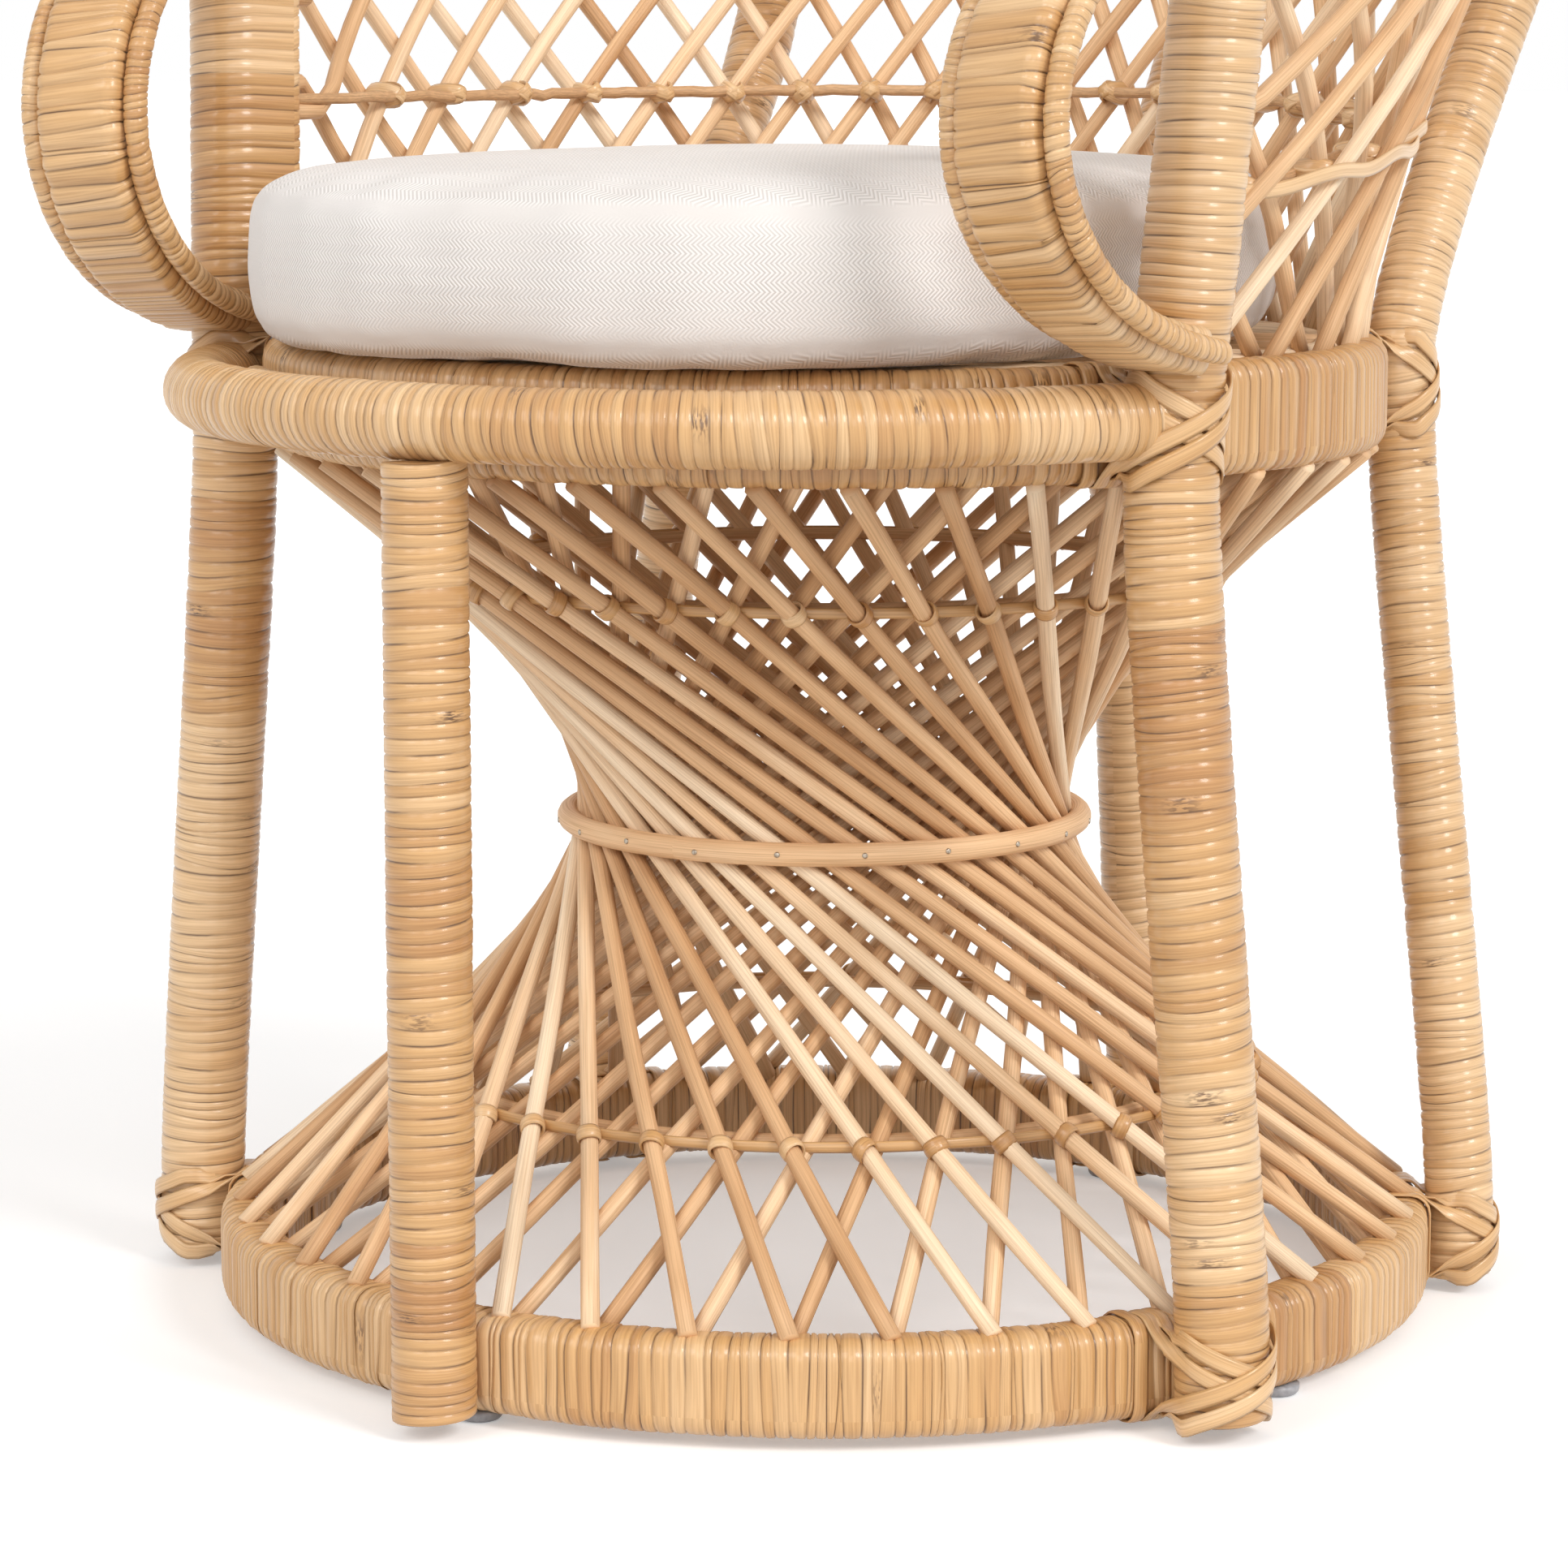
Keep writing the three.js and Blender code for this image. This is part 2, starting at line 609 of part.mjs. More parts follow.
// All the canes of one layer that reach the belt, nailed to a hoop there.
function backLayer(turn, offset, hoopOffset) {
  const pitch = 2 / BACK_CANES;
  const first = Math.ceil((-BACK_EDGE_LIMIT - sweepShare) / pitch);
  const last = Math.floor((BACK_EDGE_LIMIT - sweepShare) / pitch);
  const canes = Array.from({ length: last - first + 1 }, (_, i) => {
    return backCane(turn * (first + i) * pitch, turn, offset);
  });
  const beltPoint = (across) => backPoint(across, BELT_HEIGHT, hoopOffset);
  const belt = arcTube(beltPoint, BACK_EDGE_LIMIT, BELT_HOOP_RADIUS);
  return cut(fuse([belt, ...canes]), [fanRimClear]);
}

function arcTube(pointAt, limit, radius) {
  const points = stations(BELT_STEPS, (share) => pointAt(lerp(-limit, limit, share)));
  return tube(points, radius, BENT_CANE_SIDES);
}

const halfLayer = BACK_LAYER_STEP / 2;
const layerFace = halfLayer + CANE_RADIUS;
const hoopOffset = layerFace + BELT_HOOP_RADIUS - BITE;
const archOffset = layerFace + BELT_HOOP_RADIUS + BITE;
const tieOffset = -(layerFace + TIE_RADIUS + BACK_TIE_SLACK);
const tieFall = (across) => BACK_TIE_FALL * Math.max(across, 0) ** 2;
const tiePoint = (across) => backPoint(across, BACK_TIE_HEIGHT - tieFall(across), tieOffset);
const archPoint = (across) => fanPoint(across, ARCH_SHARE, archOffset);
add("back_inner_canes", backLayer(1, -halfLayer, -hoopOffset), CORE, 0.6);
add("back_outer_canes", backLayer(-1, halfLayer, hoopOffset), CORE, 0.6);
add("back_tie_cane", arcTube(tiePoint, BACK_EDGE_LIMIT, TIE_RADIUS), CORE, 0.6);
add("fan_arch_cane", arcTube(archPoint, ARCH_LIMIT, BELT_HOOP_RADIUS), CORE, 0.6);

// Three back posts: legs below the seat, and stays behind the fan above it.
function backPost(footAngle, seatAngle, across) {
  const foot = BASE_RADIUS + BACK_POST_RADIUS + CLEARANCE;
  const seat = SEAT_RADIUS + BACK_POST_RADIUS + CLEARANCE;
  const behind = archOffset + BELT_HOOP_RADIUS + BACK_POST_RADIUS + CLEARANCE;
  return [
    atAngle(foot, footAngle, POST_FOOT),
    atAngle(foot, footAngle, baseTop),
    atAngle(seat, seatAngle, seatBottom),
    atAngle(seat, seatAngle, SEAT_TOP),
    backPoint(across, BELT_HEIGHT, behind + BACK_POST_BOW),
    fanPoint(across, ARCH_SHARE / 2, behind),
    fanPoint(across, ARCH_SHARE, behind),
  ];
}

const sidePost = backPost(BACK_POST_FOOT_ANGLE, BACK_POST_SEAT_ANGLE, BACK_POST_ACROSS);
const backPosts = {
  back_post_left: sidePost,
  back_post_right: mirrored(sidePost),
  rear_post: backPost(180, 180, 0),
};
for (const [name, path] of Object.entries(backPosts)) {
  const post = toSolid(tube(path, BACK_POST_RADIUS, ROUND_SIDES, 2));
  add(name, cut(post, [baseClear, seatClear]), PEEL);
}

// A waved cane laid on the front of the fan, between the arch and the rim.
const scallopOffset = -(layerFace + SCALLOP_RADIUS + CLEARANCE);
const scallopPath = stations(SCALLOP_STEPS * SCALLOPS, (share) => {
  const height = SCALLOP_SHARE + SCALLOP_SWING * Math.cos(2 * Math.PI * SCALLOPS * share);
  return fanPoint(lerp(-SCALLOP_LIMIT, SCALLOP_LIMIT, share), height, scallopOffset);
});
add("fan_scallop_cane", tube(scallopPath, SCALLOP_RADIUS, TIE_SIDES), CORE, 0.6);

// The origin is on the floor, below the middle of the chair's box.
const box = new THREE.Box3().setFromObject(chair);
chair.position.y = -(box.min.y + box.max.y) / 2;

export default chair;
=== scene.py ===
# A peacock chair: wound posts, hoops and arms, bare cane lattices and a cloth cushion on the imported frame.
# Lengths in this script are millimetres round the axis of the base hoop, until a mesh is made in metres.

from math import acos, asin, atan2, ceil, cos, degrees, floor, hypot, pi, radians, sin, sqrt

import bpy
import numpy as np
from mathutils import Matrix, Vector


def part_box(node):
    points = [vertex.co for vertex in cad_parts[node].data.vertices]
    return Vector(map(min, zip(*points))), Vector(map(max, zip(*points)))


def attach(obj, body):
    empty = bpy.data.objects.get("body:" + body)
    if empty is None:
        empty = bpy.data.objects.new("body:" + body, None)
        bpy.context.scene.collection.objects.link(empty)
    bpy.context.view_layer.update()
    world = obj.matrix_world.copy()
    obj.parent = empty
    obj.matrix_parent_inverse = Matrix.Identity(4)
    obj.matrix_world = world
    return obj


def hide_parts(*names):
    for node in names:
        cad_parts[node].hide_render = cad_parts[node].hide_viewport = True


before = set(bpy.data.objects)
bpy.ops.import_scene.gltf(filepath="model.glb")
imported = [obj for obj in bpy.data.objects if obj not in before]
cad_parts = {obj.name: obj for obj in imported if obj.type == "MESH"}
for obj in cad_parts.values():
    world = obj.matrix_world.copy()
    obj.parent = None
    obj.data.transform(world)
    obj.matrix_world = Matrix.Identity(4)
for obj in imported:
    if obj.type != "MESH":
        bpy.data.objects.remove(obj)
scene = bpy.context.scene
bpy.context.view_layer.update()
hoop_low, hoop_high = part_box("base_hoop")
AXIS_Y = (hoop_low[1] + hoop_high[1]) / 2
MM = 0.001
rng = np.random.default_rng(11)

# Sizes shared with the CAD model
CLEARANCE = 0.3
BITE = 1.6
GLIDE_HEIGHT = 5
GLIDE_SIDE_ANGLE = 80
BASE_RADIUS = 280
BASE_HEIGHT = 43
BASE_WALL = 26
SEAT_RADIUS = 254.5
SEAT_HEIGHT = 49
SEAT_WALL = 22
SEAT_TOP = 445
CANE_RADIUS = 4
HOURGLASS_CANES = 40
HOURGLASS_LAYER_STEP = 14
HOURGLASS_INSET = 4
WAIST_HEIGHT = 224
WAIST_RADIUS = 123
WAIST_HOOP_RADIUS = 5.3
WAIST_INNER_RADIUS = 95
TIE_HEIGHTS = (110, 337)
TIE_RADIUS = 3
POST_FOOT = 6
FRONT_LEG_RADIUS = 18
LEG_SADDLE = 4
ARM_POST_RADIUS = 20
ARM_POST_FOOT_ANGLE = 66.5
ARM_POST_SEAT_ANGLE = 64
ARM_POST_TOP = 655
ARM_POST_LEAN_OUT = 0.06
ARM_POST_LEAN_BACK = 0.09
BACK_POST_RADIUS = 16
BACK_POST_FOOT_ANGLE = 123.4
BACK_POST_SEAT_ANGLE = 132
BACK_POST_ACROSS = 0.43
BACK_POST_BOW = 12
EDGE_CANE_RADIUS = 5
EDGE_CANE_BEARING = -123.5
RIM_OUTER_RADIUS = 16
RIM_INNER_RADIUS = 8
RIM_TOP = 440
RIM_INNER_DROP = 4
RIM_BEND = 255
RIM_FORWARD = 43
RIM_OUTER_END = 64
DECK_CANE_RADIUS = 6
DECK_SLATS = 7
CUSHION_HALF_WIDTH = 217
CUSHION_HALF_DEPTH = 235
CUSHION_FORWARD = 45
CUSHION_SIDE_HEIGHT = 72
CUSHION_EDGE_DRAW = 30
CUSHION_SIDE_SQUARENESS = 2.8
CUSHION_SQUARENESS = 2.4
ARM_REACH = 127
ARM_HALF_HEIGHT = 94
ARM_RIM_GAP = 2
ARM_TOE_IN = 9
ARM_BAND_WIDTH = 42
ARM_BAND_THICKNESS = 20
ARM_CORD_RADIUS = 5
BACK_CANES = 25
BACK_HALF_ANGLE = 113
BACK_EDGE_SPREAD = 0.2
BACK_LAYER_STEP = 11
BACK_INSET = 8
BACK_LEAN_SWEEP = 35.3
BACK_EDGE_LIMIT = 0.95
BACK_TIE_HEIGHT = 550
BACK_TIE_FALL = 40
BACK_TIE_SLACK = 1.8
BELT_HEIGHT = 650
BELT_RADIUS = 285
BELT_SHIFT = 38
BELT_HOOP_RADIUS = 5
FAN_RIM_RADIUS = 16
FAN_HALF_WIDTH = 515
FAN_WIDEST = 1060
FAN_TOP = 1450
FAN_TOP_DEPTH = 393
FAN_RAKE = 0.67
FAN_SWEEP = 0.05
FAN_EDGE_LIMIT = 0.86
ARCH_SHARE = 0.8
ARCH_LIMIT = 0.84
SCALLOPS = 18
SCALLOP_RADIUS = 3.5
SCALLOP_SHARE = 0.845
SCALLOP_SWING = 0.06
SCALLOP_LIMIT = 0.7

# Sizes of the wrapping, as seen in the photo
POST_WRAP = 5.6
RIM_WRAP = 5.1
HOOP_WRAP = 4.9
ARM_WRAP = 5.4
CORD_WRAP = 4.2
LASH_WIDTH = 7.5
LASH_THICK = 1.3
BACK_EDGE_REACH = 0.97
BACK_CURVE = 1.35

BASE_TOP = GLIDE_HEIGHT + BASE_HEIGHT
SEAT_BOTTOM = SEAT_TOP - SEAT_HEIGHT
SEAT_MIDDLE = SEAT_TOP - SEAT_HEIGHT / 2
BASE_MIDDLE_RADIUS = BASE_RADIUS - BASE_WALL / 2
SEAT_MIDDLE_RADIUS = SEAT_RADIUS - SEAT_WALL / 2
UP = np.array([0, 0, 1.0])
LEVEL = np.array([1.0, 1.0, 0])


# Points and paths
def lerp(a, b, share):
    return a + (b - a) * share


def stacked(*parts):
    """Points whose coordinates are numbers or arrays, brought to one shape."""
    return np.stack(np.broadcast_arrays(*parts), -1)


def at_angle(radius, turn, height):
    """A point at a turn in degrees about the axis, from the front towards +X."""
    angle = np.radians(turn)
    return stacked(radius * np.sin(angle), -radius * np.cos(angle), height)


def mirrored(points):
    return np.asarray(points) * (-1, 1, 1)


def unit(vectors):
    return vectors / np.linalg.norm(vectors, axis=-1, keepdims=True)


def smooth(points, per=12):
    """A centripetal Catmull-Rom curve, like the CAD model's bent canes."""
    points = np.asarray(points, float)
    padded = np.vstack([2 * points[0] - points[1], points, 2 * points[-1] - points[-2]])
    curve = []
    for i in range(len(points) - 1):
        p0, p1, p2, p3 = padded[i : i + 4]
        d0, d1, d2 = (np.linalg.norm(b - a) ** 0.5 for a, b in ((p0, p1), (p1, p2), (p2, p3)))
        t1 = ((p1 - p0) / d0 - (p2 - p0) / (d0 + d1) + (p2 - p1) / d1) * d1
        t2 = ((p2 - p1) / d1 - (p3 - p1) / (d1 + d2) + (p3 - p2) / d2) * d1
        t = (np.arange(per) / per)[:, None]
        bend = 2 * p1 - 2 * p2 + t1 + t2
        sway = -3 * p1 + 3 * p2 - 2 * t1 - t2
        curve.append(bend * t**3 + sway * t**2 + t1 * t + p1)
    return np.vstack([*curve, points[-1]])


def looped(values):
    return np.vstack([values, values[:1]])


def run_of(path):
    return np.concatenate([[0], np.cumsum(np.linalg.norm(np.diff(path, axis=0), axis=1))])


def sample(path, run, at):
    return stacked(*(np.interp(at, run, column) for column in path.T))


def resample(path, step):
    run = run_of(path)
    count = max(2, round(run[-1] / step)) + 1
    return sample(path, run, np.linspace(0, run[-1], count))


def frames(path, hint, closed=False):
    """Normals near the hint, and binormals. With the path they are right-handed."""
    if closed:
        tangent = unit(np.roll(path, -1, 0) - np.roll(path, 1, 0))
    else:
        tangent = unit(np.gradient(path, axis=0))
    hint = np.broadcast_to(hint, path.shape)
    normal = unit(hint - (hint * tangent).sum(1, keepdims=True) * tangent)
    return normal, np.cross(tangent, normal)


def inward(path):
    """Level directions to the chair's axis, where wound pieces have their seam."""
    return unit(-path * LEVEL)


def circle(radius, height, count):
    return at_angle(radius, 360 * np.arange(count) / count, height)


# Outlines of sections
def on_circle(angle):
    return stacked(np.cos(angle), np.sin(angle))


def round_outline(radius, sides):
    return radius * on_circle(2 * pi * np.arange(sides) / sides)


def boxed_outline(half_x, half_y, corner, between):
    """A rounded box, anticlockwise, with a few points between its corners."""
    centres = np.array([(1, 1), (-1, 1), (-1, -1), (1, -1)]) * (half_x - corner, half_y - corner)
    quarter = pi / 2 * np.linspace(0, 1, 5)
    arcs = [centre + corner * on_circle(pi / 2 * i + quarter) for i, centre in enumerate(centres)]
    shares = (np.arange(between) + 1)[:, None] / (between + 1)
    flats = [lerp(arcs[i - 1][-1], arcs[i][0], shares) for i in (1, 2, 3, 0)]
    return np.vstack([points for pair in zip(arcs, flats) for points in pair])


def paired_outline(big, small, apart, sides):
    """The outline of a strip drawn tight round two canes side by side."""
    bend = acos((big - small) / apart)
    near = np.linspace(-bend, bend, sides // 3)
    far = np.linspace(bend, 2 * pi - bend, sides - sides // 3)
    return np.vstack([small * on_circle(near) + (apart, 0), big * on_circle(far)])


def ribbon_outline(width, thick):
    """A flat strip of peel: its face is along the normal and its width along the binormal."""
    w, t = width / 2, thick / 2
    half = [[t, 0], [0.8 * t, 0.6 * w], [0.1 * t, w], [-t, 0.7 * w]]
    return np.array(half + [[x, -y] for x, y in half[:0:-1]])


def outline_normals(outline):
    along = np.roll(outline, -1, 0) - np.roll(outline, 1, 0)
    return unit(stacked(along[:, 1], -along[:, 0]))


# Meshes
def add(name, data):
    piece = bpy.data.objects.new(name, data)
    scene.collection.objects.link(piece)
    return piece


def read(items, key, width=3, kind=float):
    values = np.empty(len(items) * width, kind)
    items.foreach_get(key, values)
    return values.reshape(-1, width)


def points_of(mesh):
    return read(mesh.vertices, "co")


def move_to(mesh, points):
    mesh.vertices.foreach_set("co", points.ravel())
    mesh.update()


def store(mesh, label, domain, values):
    layer = mesh.attributes.new(label, "FLOAT_VECTOR", domain)
    layer.data.foreach_set("vector", values.astype(np.float32).ravel())


def rings(count, sides):
    """Point numbers of a row of rings, each closed by its first point again."""
    return np.arange(count)[:, None] * sides + np.arange(sides + 1) % sides


class Surface:
    """Gathers grids into one mesh. Each corner has a look (tint, groove, stain) and a grain place."""

    def __init__(self):
        self.points, self.loops, self.sizes, self.looks, self.grains = [], [], [], [], []
        self.count = 0

    def add_points(self, points):
        start = self.count
        self.points.append(points)
        self.count += len(points)
        return start

    def grid(self, ids, look, grain):
        def corners(values):
            return np.stack([values[:-1, :-1], values[:-1, 1:], values[1:, 1:], values[1:, :-1]], 2)

        self.loops.append(corners(ids[..., None]).reshape(-1))
        self.sizes.append(np.full(len(self.loops[-1]) // 4, 4))
        self.looks.append(corners(look).reshape(-1, 3))
        self.grains.append(corners(grain).reshape(-1, 3))

    def cap(self, loop, look):
        """Closes a ring of points, facing the side from which it runs anticlockwise."""
        places = np.vstack(self.points)[loop]
        middle = self.add_points(places.mean(0, keepdims=True))
        self.loops.append(stacked(loop, np.roll(loop, -1), middle).reshape(-1))
        self.sizes.append(np.full(len(loop), 3))
        self.looks.append(np.tile(look, (3 * len(loop), 1)).astype(float))
        self.grains.append(np.ones((3 * len(loop), 3)))

    def make(self, name, material, replaces=()):
        points = np.vstack(self.points) * MM + (0, AXIS_Y, 0)
        loops = np.concatenate(self.loops)
        sizes = np.concatenate(self.sizes)
        mesh = bpy.data.meshes.new(name)
        mesh.vertices.add(len(points))
        mesh.vertices.foreach_set("co", points.ravel())
        mesh.loops.add(len(loops))
        mesh.loops.foreach_set("vertex_index", loops.astype(np.int32))
        mesh.polygons.add(len(sizes))
        mesh.polygons.foreach_set("loop_start", (np.cumsum(sizes) - sizes).astype(np.int32))
        mesh.update(calc_edges=True)
        store(mesh, "look", "CORNER", np.vstack(self.looks))
        store(mesh, "grain", "CORNER", np.vstack(self.grains))
        mesh.shade_smooth()
        mesh.materials.append(material)
        piece = add(name, mesh)
        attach(piece, "chair_frame")
        if replaces:
            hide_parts(*replaces)
        return piece


MARKS = np.array([0, 0.11, 0.5, 0.89])
PILLOW = np.array([-1.2, 0.5, 0.9, 0.5])


def strip_tints(turns, zones):
    """One strip covers several turns, so tints change in runs. Zones make lengths paler or darker."""
    tints = np.zeros(turns)
    done = 0
    while done < turns:
        length = rng.integers(*RUN_TURNS)
        tints[done : done + length] = rng.random()
        done += length
    places, shifts = zip(*zones)
    shift = np.interp(np.linspace(0, 1, turns), places, shifts)
    return np.clip(0.6 * tints + 0.4 * rng.random(turns) + shift, 0, 1)


EVEN = ((0, 0), (1, 0))
LIGHT = ((0, 0.15), (1, 0.15))
RUN_TURNS = (5, 22)
WAVER = 0.1
TURN_HEIGHT = 0.3
DEEP_SHARE = 0.5
STAIN_SHARE = 0.16
STAIN_WIDTH = 0.05
CAP_LOOK = (0.2, 0.5, 0)


def wound(
    name, path, hint, outline, width, relief,
    zones=EVEN, helix=True, closed=False, slant=0.0, uneven=0.9, node_name=None,
):
    """A core wound with a flat strip: each turn is a pillowed band, with a groove between two turns."""
    surface = Surface()
    normal, binormal = frames(path, hint, closed)
    if closed:
        path, normal, binormal = (looped(v) for v in (path, normal, binormal))
    run = run_of(path)
    turns = max(3, round(run[-1] / width))
    spans = turns + 1 if helix else turns
    starts = np.concatenate([[0], np.cumsum(1 + uneven * (rng.random(spans) - 0.5))])
    starts *= run[-1] / starts[-1]
    marks, sides = len(MARKS), len(outline)
    rows = np.append((np.arange(turns)[:, None] + MARKS).ravel(), turns)
    turn_of = np.append(np.repeat(np.arange(turns), marks), 0 if closed else turns - 1)
    mark_of = np.append(np.tile(np.arange(marks), turns), 0)
    count = len(rows)
    around = np.arange(sides + 1) / sides
    turn_share = around if helix else np.zeros(sides + 1)
    at = np.interp(rows[:, None] + turn_share, np.arange(spans + 1), starts)
    ring = looped(outline)
    facing = looped(outline_normals(outline))

    # Edges of the strip waver a little from turn to turn.
    bases = turn_of[:, None] + turn_share + (mark_of > 2)[:, None]
    knots = rng.normal(0, WAVER * width, (3, turns + 3))
    heights = rng.normal(0, TURN_HEIGHT, turns + 3)
    if closed:
        bases = bases % turns
        knots[:, turns:] = knots[:, :3]
        heights[turns:] = heights[:3]
    else:
        bases = np.where(np.arange(count)[:, None] == count - 1, bases + 1, bases)
    steps = np.arange(turns + 3)
    angle = 2 * pi * around
    waves = np.sin(angle), np.cos(angle), np.sin(2 * angle)
    waver = sum(np.interp(bases, steps, size) * wave for size, wave in zip(knots, waves))
    at = at + waver + slant * ring[:, 0] / np.abs(outline[:, 0]).max()
    at = at % run[-1] if closed else np.clip(at, 0, run[-1])
    lift = relief * (PILLOW[mark_of][:, None] + np.interp(bases, steps, heights))
    centre, n, b = (sample(v, run, at) for v in (path, normal, binormal))
    section = ring + lift[..., None] * facing
    points = centre + section[..., :1] * n + section[..., 1:] * b

    ids = rings(count, sides)
    extra = points[:0, 0]
    if helix:
        ids[: count - marks, sides] = ids[marks:, 0]
        extra = points[count - marks :, sides]
        ids[count - marks :, sides] = count * sides + np.arange(marks)
    if closed:
        ids[-1] = ids[0]
    ids = ids + surface.add_points(np.vstack([points[:, :sides].reshape(-1, 3), extra]))

    tints = strip_tints(turns, zones)
    wide = rng.random(turns) < DEEP_SHARE
    depth = np.where(wide, rng.uniform(0.85, 1, turns), rng.uniform(0.5, 0.8, turns))
    phase = around * rng.choice([1, 2, 3], turns)[:, None] + rng.random(turns)[:, None]
    fade = np.clip(0.55 + 0.7 * np.sin(2 * pi * phase), 0.25, 1)
    stains = np.where(rng.random(turns) < STAIN_SHARE, rng.uniform(0.4, 1, turns), 0)
    apart = np.abs(around - rng.random(turns)[:, None])
    spot = np.exp(-((np.minimum(apart, 1 - apart) / STAIN_WIDTH) ** 2)) * stains[:, None]
    grooves = np.where((mark_of == 0)[:, None], depth[turn_of][:, None] * fade[turn_of], 0)
    look = stacked(tints[turn_of][:, None], grooves, spot[turn_of])
    girth = run_of(ring)
    along = girth + (turn_of * girth[-1])[:, None]
    grain = stacked(along, (MARKS[mark_of] * width)[:, None], turn_of[:, None])
    surface.grid(ids, look, grain)
    if helix:
        first = np.concatenate([ids[0, :sides], ids[marks:0:-1, 0]])
        last = np.concatenate([ids[-1], ids[-2 : -marks - 1 : -1, sides]])
    else:
        first, last = ids[0, :sides], ids[-1, :sides]
    if not closed:
        surface.cap(first[::-1], CAP_LOOK)
        surface.cap(last, CAP_LOOK)
    surface.make(name + "_wound", PEEL, [node_name or name])


def strip(surface, path, hint, outline, look=None, closed=False, radii=1):
    """A plain sweep of an outline along a path, with fibre along it."""
    normal, binormal = frames(path, hint, closed)
    count, sides = len(path), len(outline)
    section = outline * np.reshape(radii, (-1, 1, 1))
    points = path[:, None] + section[..., :1] * normal[:, None] + section[..., 1:] * binormal[:, None]
    ids = rings(count, sides) + surface.add_points(points.reshape(-1, 3))
    run = run_of(looped(path) if closed else path)
    if closed:
        ids = looped(ids)
    look = (rng.random(), 0, 0) if look is None else look
    grain = stacked(run[: len(ids), None], run_of(looped(outline)), rng.random() * 97)
    surface.grid(ids, np.broadcast_to(np.asarray(look, float), grain.shape), grain)
    if not closed:
        surface.cap(ids[0, :sides][::-1], look)
        surface.cap(ids[-1, :sides], look)


def level_ring(surface, radius, height, thick, count, sides, look=None):
    """A bare cane bent into a level ring."""
    strip(surface, circle(radius, height, count), UP, round_outline(thick, sides), look, closed=True)


def cane(surface, path, radius=CANE_RADIUS, sides=10, step=24, wander=0.5, look=None):
    """A bare cane that wanders a little and is never quite even."""
    path = resample(np.asarray(path, float), step)
    share = np.linspace(0, 1, len(path))[:, None]
    sway = sum(np.sin(2 * pi * (share * k + rng.random(3))) for k in (1, 2.3)) * wander
    path = path + sway * np.minimum(1, 6 * np.minimum(share, 1 - share))
    radii = 1 + 0.04 * np.sin(2 * pi * (share[:, 0] * rng.uniform(1, 4) + rng.random()))
    heading = unit(path[-1] - path[0])
    hint = np.array([0.31, 0.23, 0.92])
    if abs(heading @ unit(hint)) > 0.85:
        hint = np.array([0.9, -0.3, 0.1])
    strip(surface, path, hint, round_outline(radius, sides), look, radii=radii)


# Materials
def material(name):
    made = bpy.data.materials.new(name)
    made.use_nodes = True
    tree = made.node_tree
    return made, tree, tree.nodes["Principled BSDF"]


def fill(tree, socket, value):
    if isinstance(value, bpy.types.NodeSocket):
        tree.links.new(value, socket)
    else:
        socket.default_value = value


def put(thing, settings):
    for key, value in settings.items():
        setattr(thing, key, value)


def node(tree, kind, inputs=None, **settings):
    made = tree.nodes.new(kind)
    put(made, settings)
    for key, value in (inputs or {}).items():
        fill(tree, made.inputs[key], value)
    return made


def mix_colour(tree, factor, a, b, blend="MIX"):
    made = node(tree, "ShaderNodeMix", {0: factor, 6: a, 7: b}, data_type="RGBA", blend_type=blend)
    return made.outputs[2]


def ramp(tree, value, stops):
    made = node(tree, "ShaderNodeValToRGB", {0: value})
    ends = made.color_ramp.elements
    for i, (place, colour) in enumerate(stops):
        stop = ends[i] if i < 2 else ends.new(place)
        stop.position = place
        stop.color = (*colour, 1)
    return made.outputs[0]


def calc(tree, operation, a, b=0.0):
    return node(tree, "ShaderNodeMath", {0: a, 1: b}, operation=operation).outputs[0]


def times(tree, a, b):
    return calc(tree, "MULTIPLY", a, b)


def noise(tree, vector, scale=1.0, detail=2.0):
    return node(tree, "ShaderNodeTexNoise", {"Vector": vector, "Scale": scale, "Detail": detail}).outputs[0]


def attribute(tree, name):
    return node(tree, "ShaderNodeAttribute", attribute_name=name).outputs["Vector"]


def parts_of(tree, vector):
    return node(tree, "ShaderNodeSeparateXYZ", {0: vector}).outputs


def scaled(tree, vector, scale):
    return node(tree, "ShaderNodeMapping", {0: vector, 3: scale}).outputs[0]


def spread(tree, value, low, high, to_low=0.0, to_high=1.0):
    return node(tree, "ShaderNodeMapRange", {0: value, 1: low, 2: high, 3: to_low, 4: to_high}).outputs[0]


def position(tree):
    return node(tree, "ShaderNodeNewGeometry").outputs["Position"]


def bumped(tree, strength, distance, height):
    inputs = {"Strength": strength, "Distance": distance, "Height": height}
    return node(tree, "ShaderNodeBump", inputs).outputs[0]


def dress(tree, shader, inputs):
    for key, value in inputs.items():
        fill(tree, shader.inputs[key], value)


